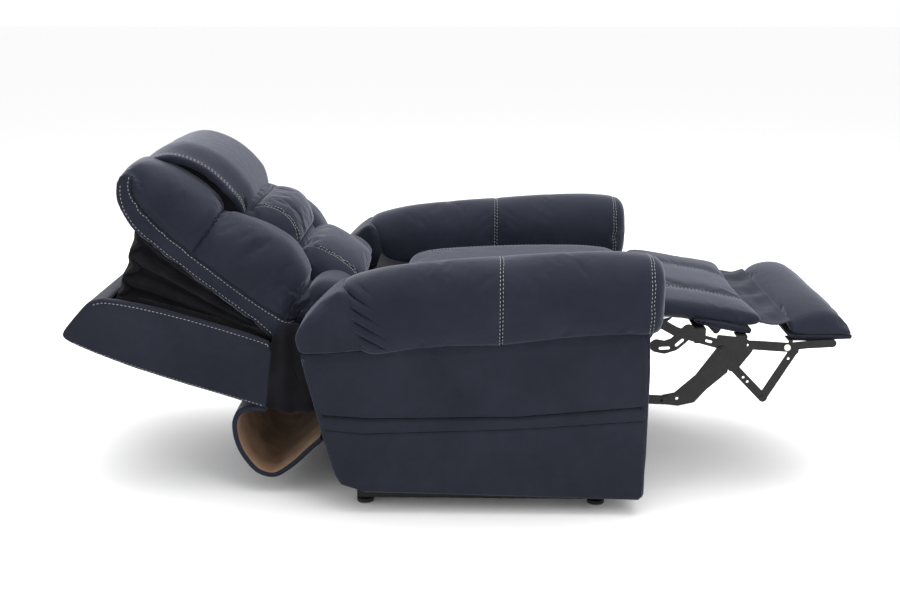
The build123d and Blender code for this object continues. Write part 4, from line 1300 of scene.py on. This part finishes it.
# curved dust cover that hangs behind the chassis: navy outside, brown lining inside
def sheet_along(name, path, x0, x1, th, mat_out, mat_in, wave=0.0, nx=90, seed=1.0, step=0.006):
    pts = resample_open(smooth_open([Vector((0, *p)) for p in path], 3), step)
    rings = []
    L = len(pts)
    nors = []
    for i, p in enumerate(pts):
        t = pts[min(L - 1, i + 1)] - pts[max(0, i - 1)]
        nors.append(Vector((0, t.z, -t.y)).normalized())
    verts, faces, mats = [], [], []
    W = nx + 1
    for i, p in enumerate(pts):
        for j in range(W):
            x = x0 + (x1 - x0) * j / nx
            w = wave * math.sin(math.pi * i / (L - 1)) * (noise.noise(Vector((x * 6, i * 0.05, seed))) + 0.4 * noise.noise(Vector((x * 17, i * 0.12, seed))))
            verts.append(Vector((x, p.y, p.z)) + nors[i] * w)
    base = len(verts)
    for i in range(L):
        for j in range(W):
            verts.append(verts[i * W + j] - nors[i] * th)
    for i in range(L - 1):
        for j in range(nx):
            a = i * W + j
            faces.append((a, a + 1, a + W + 1, a + W)); mats.append(0)
            faces.append((base + a, base + a + W, base + a + W + 1, base + a + 1)); mats.append(1)
    rim = [j for j in range(W)] + [i * W + nx for i in range(1, L)] + [(L - 1) * W + j for j in range(nx - 1, -1, -1)] + [i * W for i in range(L - 2, 0, -1)]
    for k, a in enumerate(rim):
        b = rim[(k + 1) % len(rim)]
        faces.append((a, b, base + b, base + a)); mats.append(0)
    ob = mesh_object(name, verts, faces, mat_out)
    if mat_in is not None:
        ob.data.materials.append(mat_in)
        for p, m in zip(ob.data.polygons, mats):
            p.material_index = m
    return ob


SKIRT = [(0.486, 0.240), (0.520, 0.246), (0.560, 0.238), (0.580, 0.205), (0.578, 0.160), (0.563, 0.112), (0.530, 0.062), (0.500, 0.046),
         (0.468, 0.045), (0.424, 0.077), (0.380, 0.120), (0.345, 0.150)]
skirt = sheet_along("rear_skirt_cover", SKIRT[::-1], -0.326, 0.326, 0.013, NAVY_SIDE, BROWN_CLOTH, wave=0.004)
# dark liner between the arm backs and the shell's lower end
liner = sheet_along("rear_liner", [(0.320, 0.120), (0.350, 0.200), (0.385, 0.290), (0.425, 0.350), (0.455, 0.405), (0.462, 0.440)], -0.331, 0.331, 0.002,
                    BLACK_CLOTH, None, wave=0.010, seed=4.0)


def side_sheet(x):
    lo = [(0.330, 0.240), (0.380, 0.232), (0.430, 0.228), (0.486, 0.243)]
    hi = [(0.372, 0.452), (0.400, 0.468), (0.435, 0.462), (0.462, 0.440)]
    nu, nv = 36, 36
    verts, faces = [], []
    for j in range(nv + 1):
        v = j / nv
        for i in range(nu + 1):
            u = i / nu
            k = u * 3
            q = min(2, int(k))
            f = k - q
            a = Vector((0, lo[q][0] * (1 - f) + lo[q + 1][0] * f, lo[q][1] * (1 - f) + lo[q + 1][1] * f))
            b = Vector((0, hi[q][0] * (1 - f) + hi[q + 1][0] * f, hi[q][1] * (1 - f) + hi[q + 1][1] * f))
            p = a.lerp(b, v)
            p.x = x + (1 if x < 0 else -1) * (0.004 * math.sin(math.pi * u) * (1 + math.sin(u * 14 + v * 2)) + 0.002 * noise.noise(Vector((u * 4, v * 4, 2))))
            verts.append(p)
    W = nu + 1
    for j in range(nv):
        for i in range(nu):
            a = j * W + i
            faces.append((a, a + 1, a + W + 1, a + W))
    ob = mesh_object("rear_side_cloth_" + ("right" if x < 0 else "left"), verts, faces, BLACK_CLOTH)
    md = ob.modifiers.new("t", "SOLIDIFY")
    md.thickness = 0.0018
    apply_mods(ob)
    return ob


side_cloth = [side_sheet(-0.3365), side_sheet(0.3365)]
web = sheet_along("footrest_web_cover", [(-0.752, 0.460), (-0.775, 0.459), (-0.800, 0.455), (-0.822, 0.457), (-0.846, 0.464)], -0.268, 0.268, 0.0022,
                  NAVY_SIDE, None, wave=0.0, seed=7.0)


def web_folds(x, y, z):
    u = min(1, max(0, (y + 0.846) / 0.094))
    env = math.sin(math.pi * u) ** 0.6
    f = math.sin(x * 46 + 34 * y + 2.4 * noise.noise(Vector((x * 5, y * 9, 1.0))))
    return env * (0.0035 * f + 0.003 * noise.noise(Vector((x * 21, y * 30, 4.0))))


co_ = coords(web)
for i_ in range(len(co_)):
    co_[i_][2] += web_folds(*co_[i_])
set_coords(web, co_)
gap_cloth = sheet_along("seat_back_cloth", [(0.150, 0.470), (0.185, 0.474), (0.215, 0.482), (0.240, 0.500)], -0.280, 0.280, 0.002,
                        BLACK_CLOTH, None, wave=0.003, seed=9.0)

# ================================================================== who rides on what
RIDE = {
    "chassis": [arm_roll, gusset, side_r, front_r, rear_r, seat, left["arm_roll_left"], left["arm_gusset_left"], left["arm_side_left"],
                left["arm_front_left"], left["arm_rear_left"], STITCHES["arm_right"], STITCHES["arm_left"], STITCHES["seat"]],
    "back": [shell, shell_side, left["shell_side_left"], STITCHES["shell_right"], STITCHES["shell_left"]],
    "headrest": [bolster, left["side_bolster_cover_left"], mid, core, hood, STITCHES["bolster_right"], STITCHES["bolster_left"],
                 STITCHES["middle"], STITCHES["hood"]],
    "leg_rest": [leg, leg_base, STITCHES["leg"]],
    "foot_pad": [foot, foot_base],
}
# mirror the painted seam-shade cords to the left side and let them ride with their pieces
for key, other in (("arm_right", "arm_left"), ("bolster_right", "bolster_left")):
    o2 = mirrored(SEAM_SHADE_CORDS[key], "painted_seam_shade_" + other)
    SEAM_SHADE_CORDS[other] = o2
RIDE["chassis"] += [SEAM_SHADE_CORDS["arm_right"], SEAM_SHADE_CORDS["arm_left"], SEAM_SHADE_CORDS["seat"]]
RIDE["headrest"] += [SEAM_SHADE_CORDS["bolster_right"], SEAM_SHADE_CORDS["bolster_left"], SEAM_SHADE_CORDS["middle"]]
RIDE["leg_rest"] += [SEAM_SHADE_CORDS["leg"]]
for body, obs in RIDE.items():
    for ob in obs:
        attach(ob, body)
for ob in (low_c, low_s, left["lower_back_side_left"], STITCHES["lower"]):
    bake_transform(ob)
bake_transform(bel)
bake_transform(skirt)
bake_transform(liner)
for ob in side_cloth:
    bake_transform(ob)
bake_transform(web)
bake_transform(gap_cloth)

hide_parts("arm_pillow_right")
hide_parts("arm_pillow_left")
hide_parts("arm_outer_panel_right")
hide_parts("arm_outer_panel_left")
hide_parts("arm_front_panels")
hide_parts("arm_front_panels")
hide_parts("arm_rear_panels")
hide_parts("arm_rear_panels")
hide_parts("back_shell")
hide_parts("side_bolster_right")
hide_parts("side_bolster_left")
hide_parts("middle_bolsters")
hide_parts("head_pillow")
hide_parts("lower_back_cushion")
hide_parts("seat_cushion")
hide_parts("leg_cushion")
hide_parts("foot_cushion")
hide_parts("foot_board")
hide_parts("leg_board")
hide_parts("headrest_bellows")
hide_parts("rear_skirt")
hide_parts("footrest_web")

# ================================================================== studio
fl = bpy.data.meshes.new("floor")
fl.from_pydata([(-30, -30, 0), (30, -30, 0), (30, 30, 0), (-30, 30, 0)], [], [(0, 1, 2, 3)])
floor = bpy.data.objects.new("floor", fl)
scene.collection.objects.link(floor)
fm, fnt, fb = new_mat("floor")
fb.inputs["Base Color"].default_value = (0.96, 0.96, 0.96, 1)
fb.inputs["Roughness"].default_value = 0.9
fl.materials.append(fm)

world = bpy.data.worlds.new("studio")
scene.world = world
world.use_nodes = True
bg = world.node_tree.nodes["Background"]
bg.inputs[0].default_value = (1, 1, 1, 1)
bg.inputs[1].default_value = 1.0
scene.view_settings.view_transform = "Standard"


def area(name, loc, target, size, power, color=(1, 1, 1)):
    d = bpy.data.lights.new(name, "AREA")
    d.shape = "RECTANGLE"
    d.size, d.size_y = size
    d.energy = power
    d.color = color
    o = bpy.data.objects.new(name, d)
    scene.collection.objects.link(o)
    o.location = loc
    o.rotation_euler = (Vector(target) - Vector(loc)).to_track_quat("-Z", "Y").to_euler()
    return o


area("top", (0.2, -0.2, 3.2), (0, 0, 0.4), (3.4, 3.4), 120)
area("key", (-2.6, -2.2, 2.6), (0, 0, 0.5), (1.8, 1.8), 32)
area("back", (2.4, 1.6, 2.6), (0, 0, 0.5), (2.0, 2.0), 40)
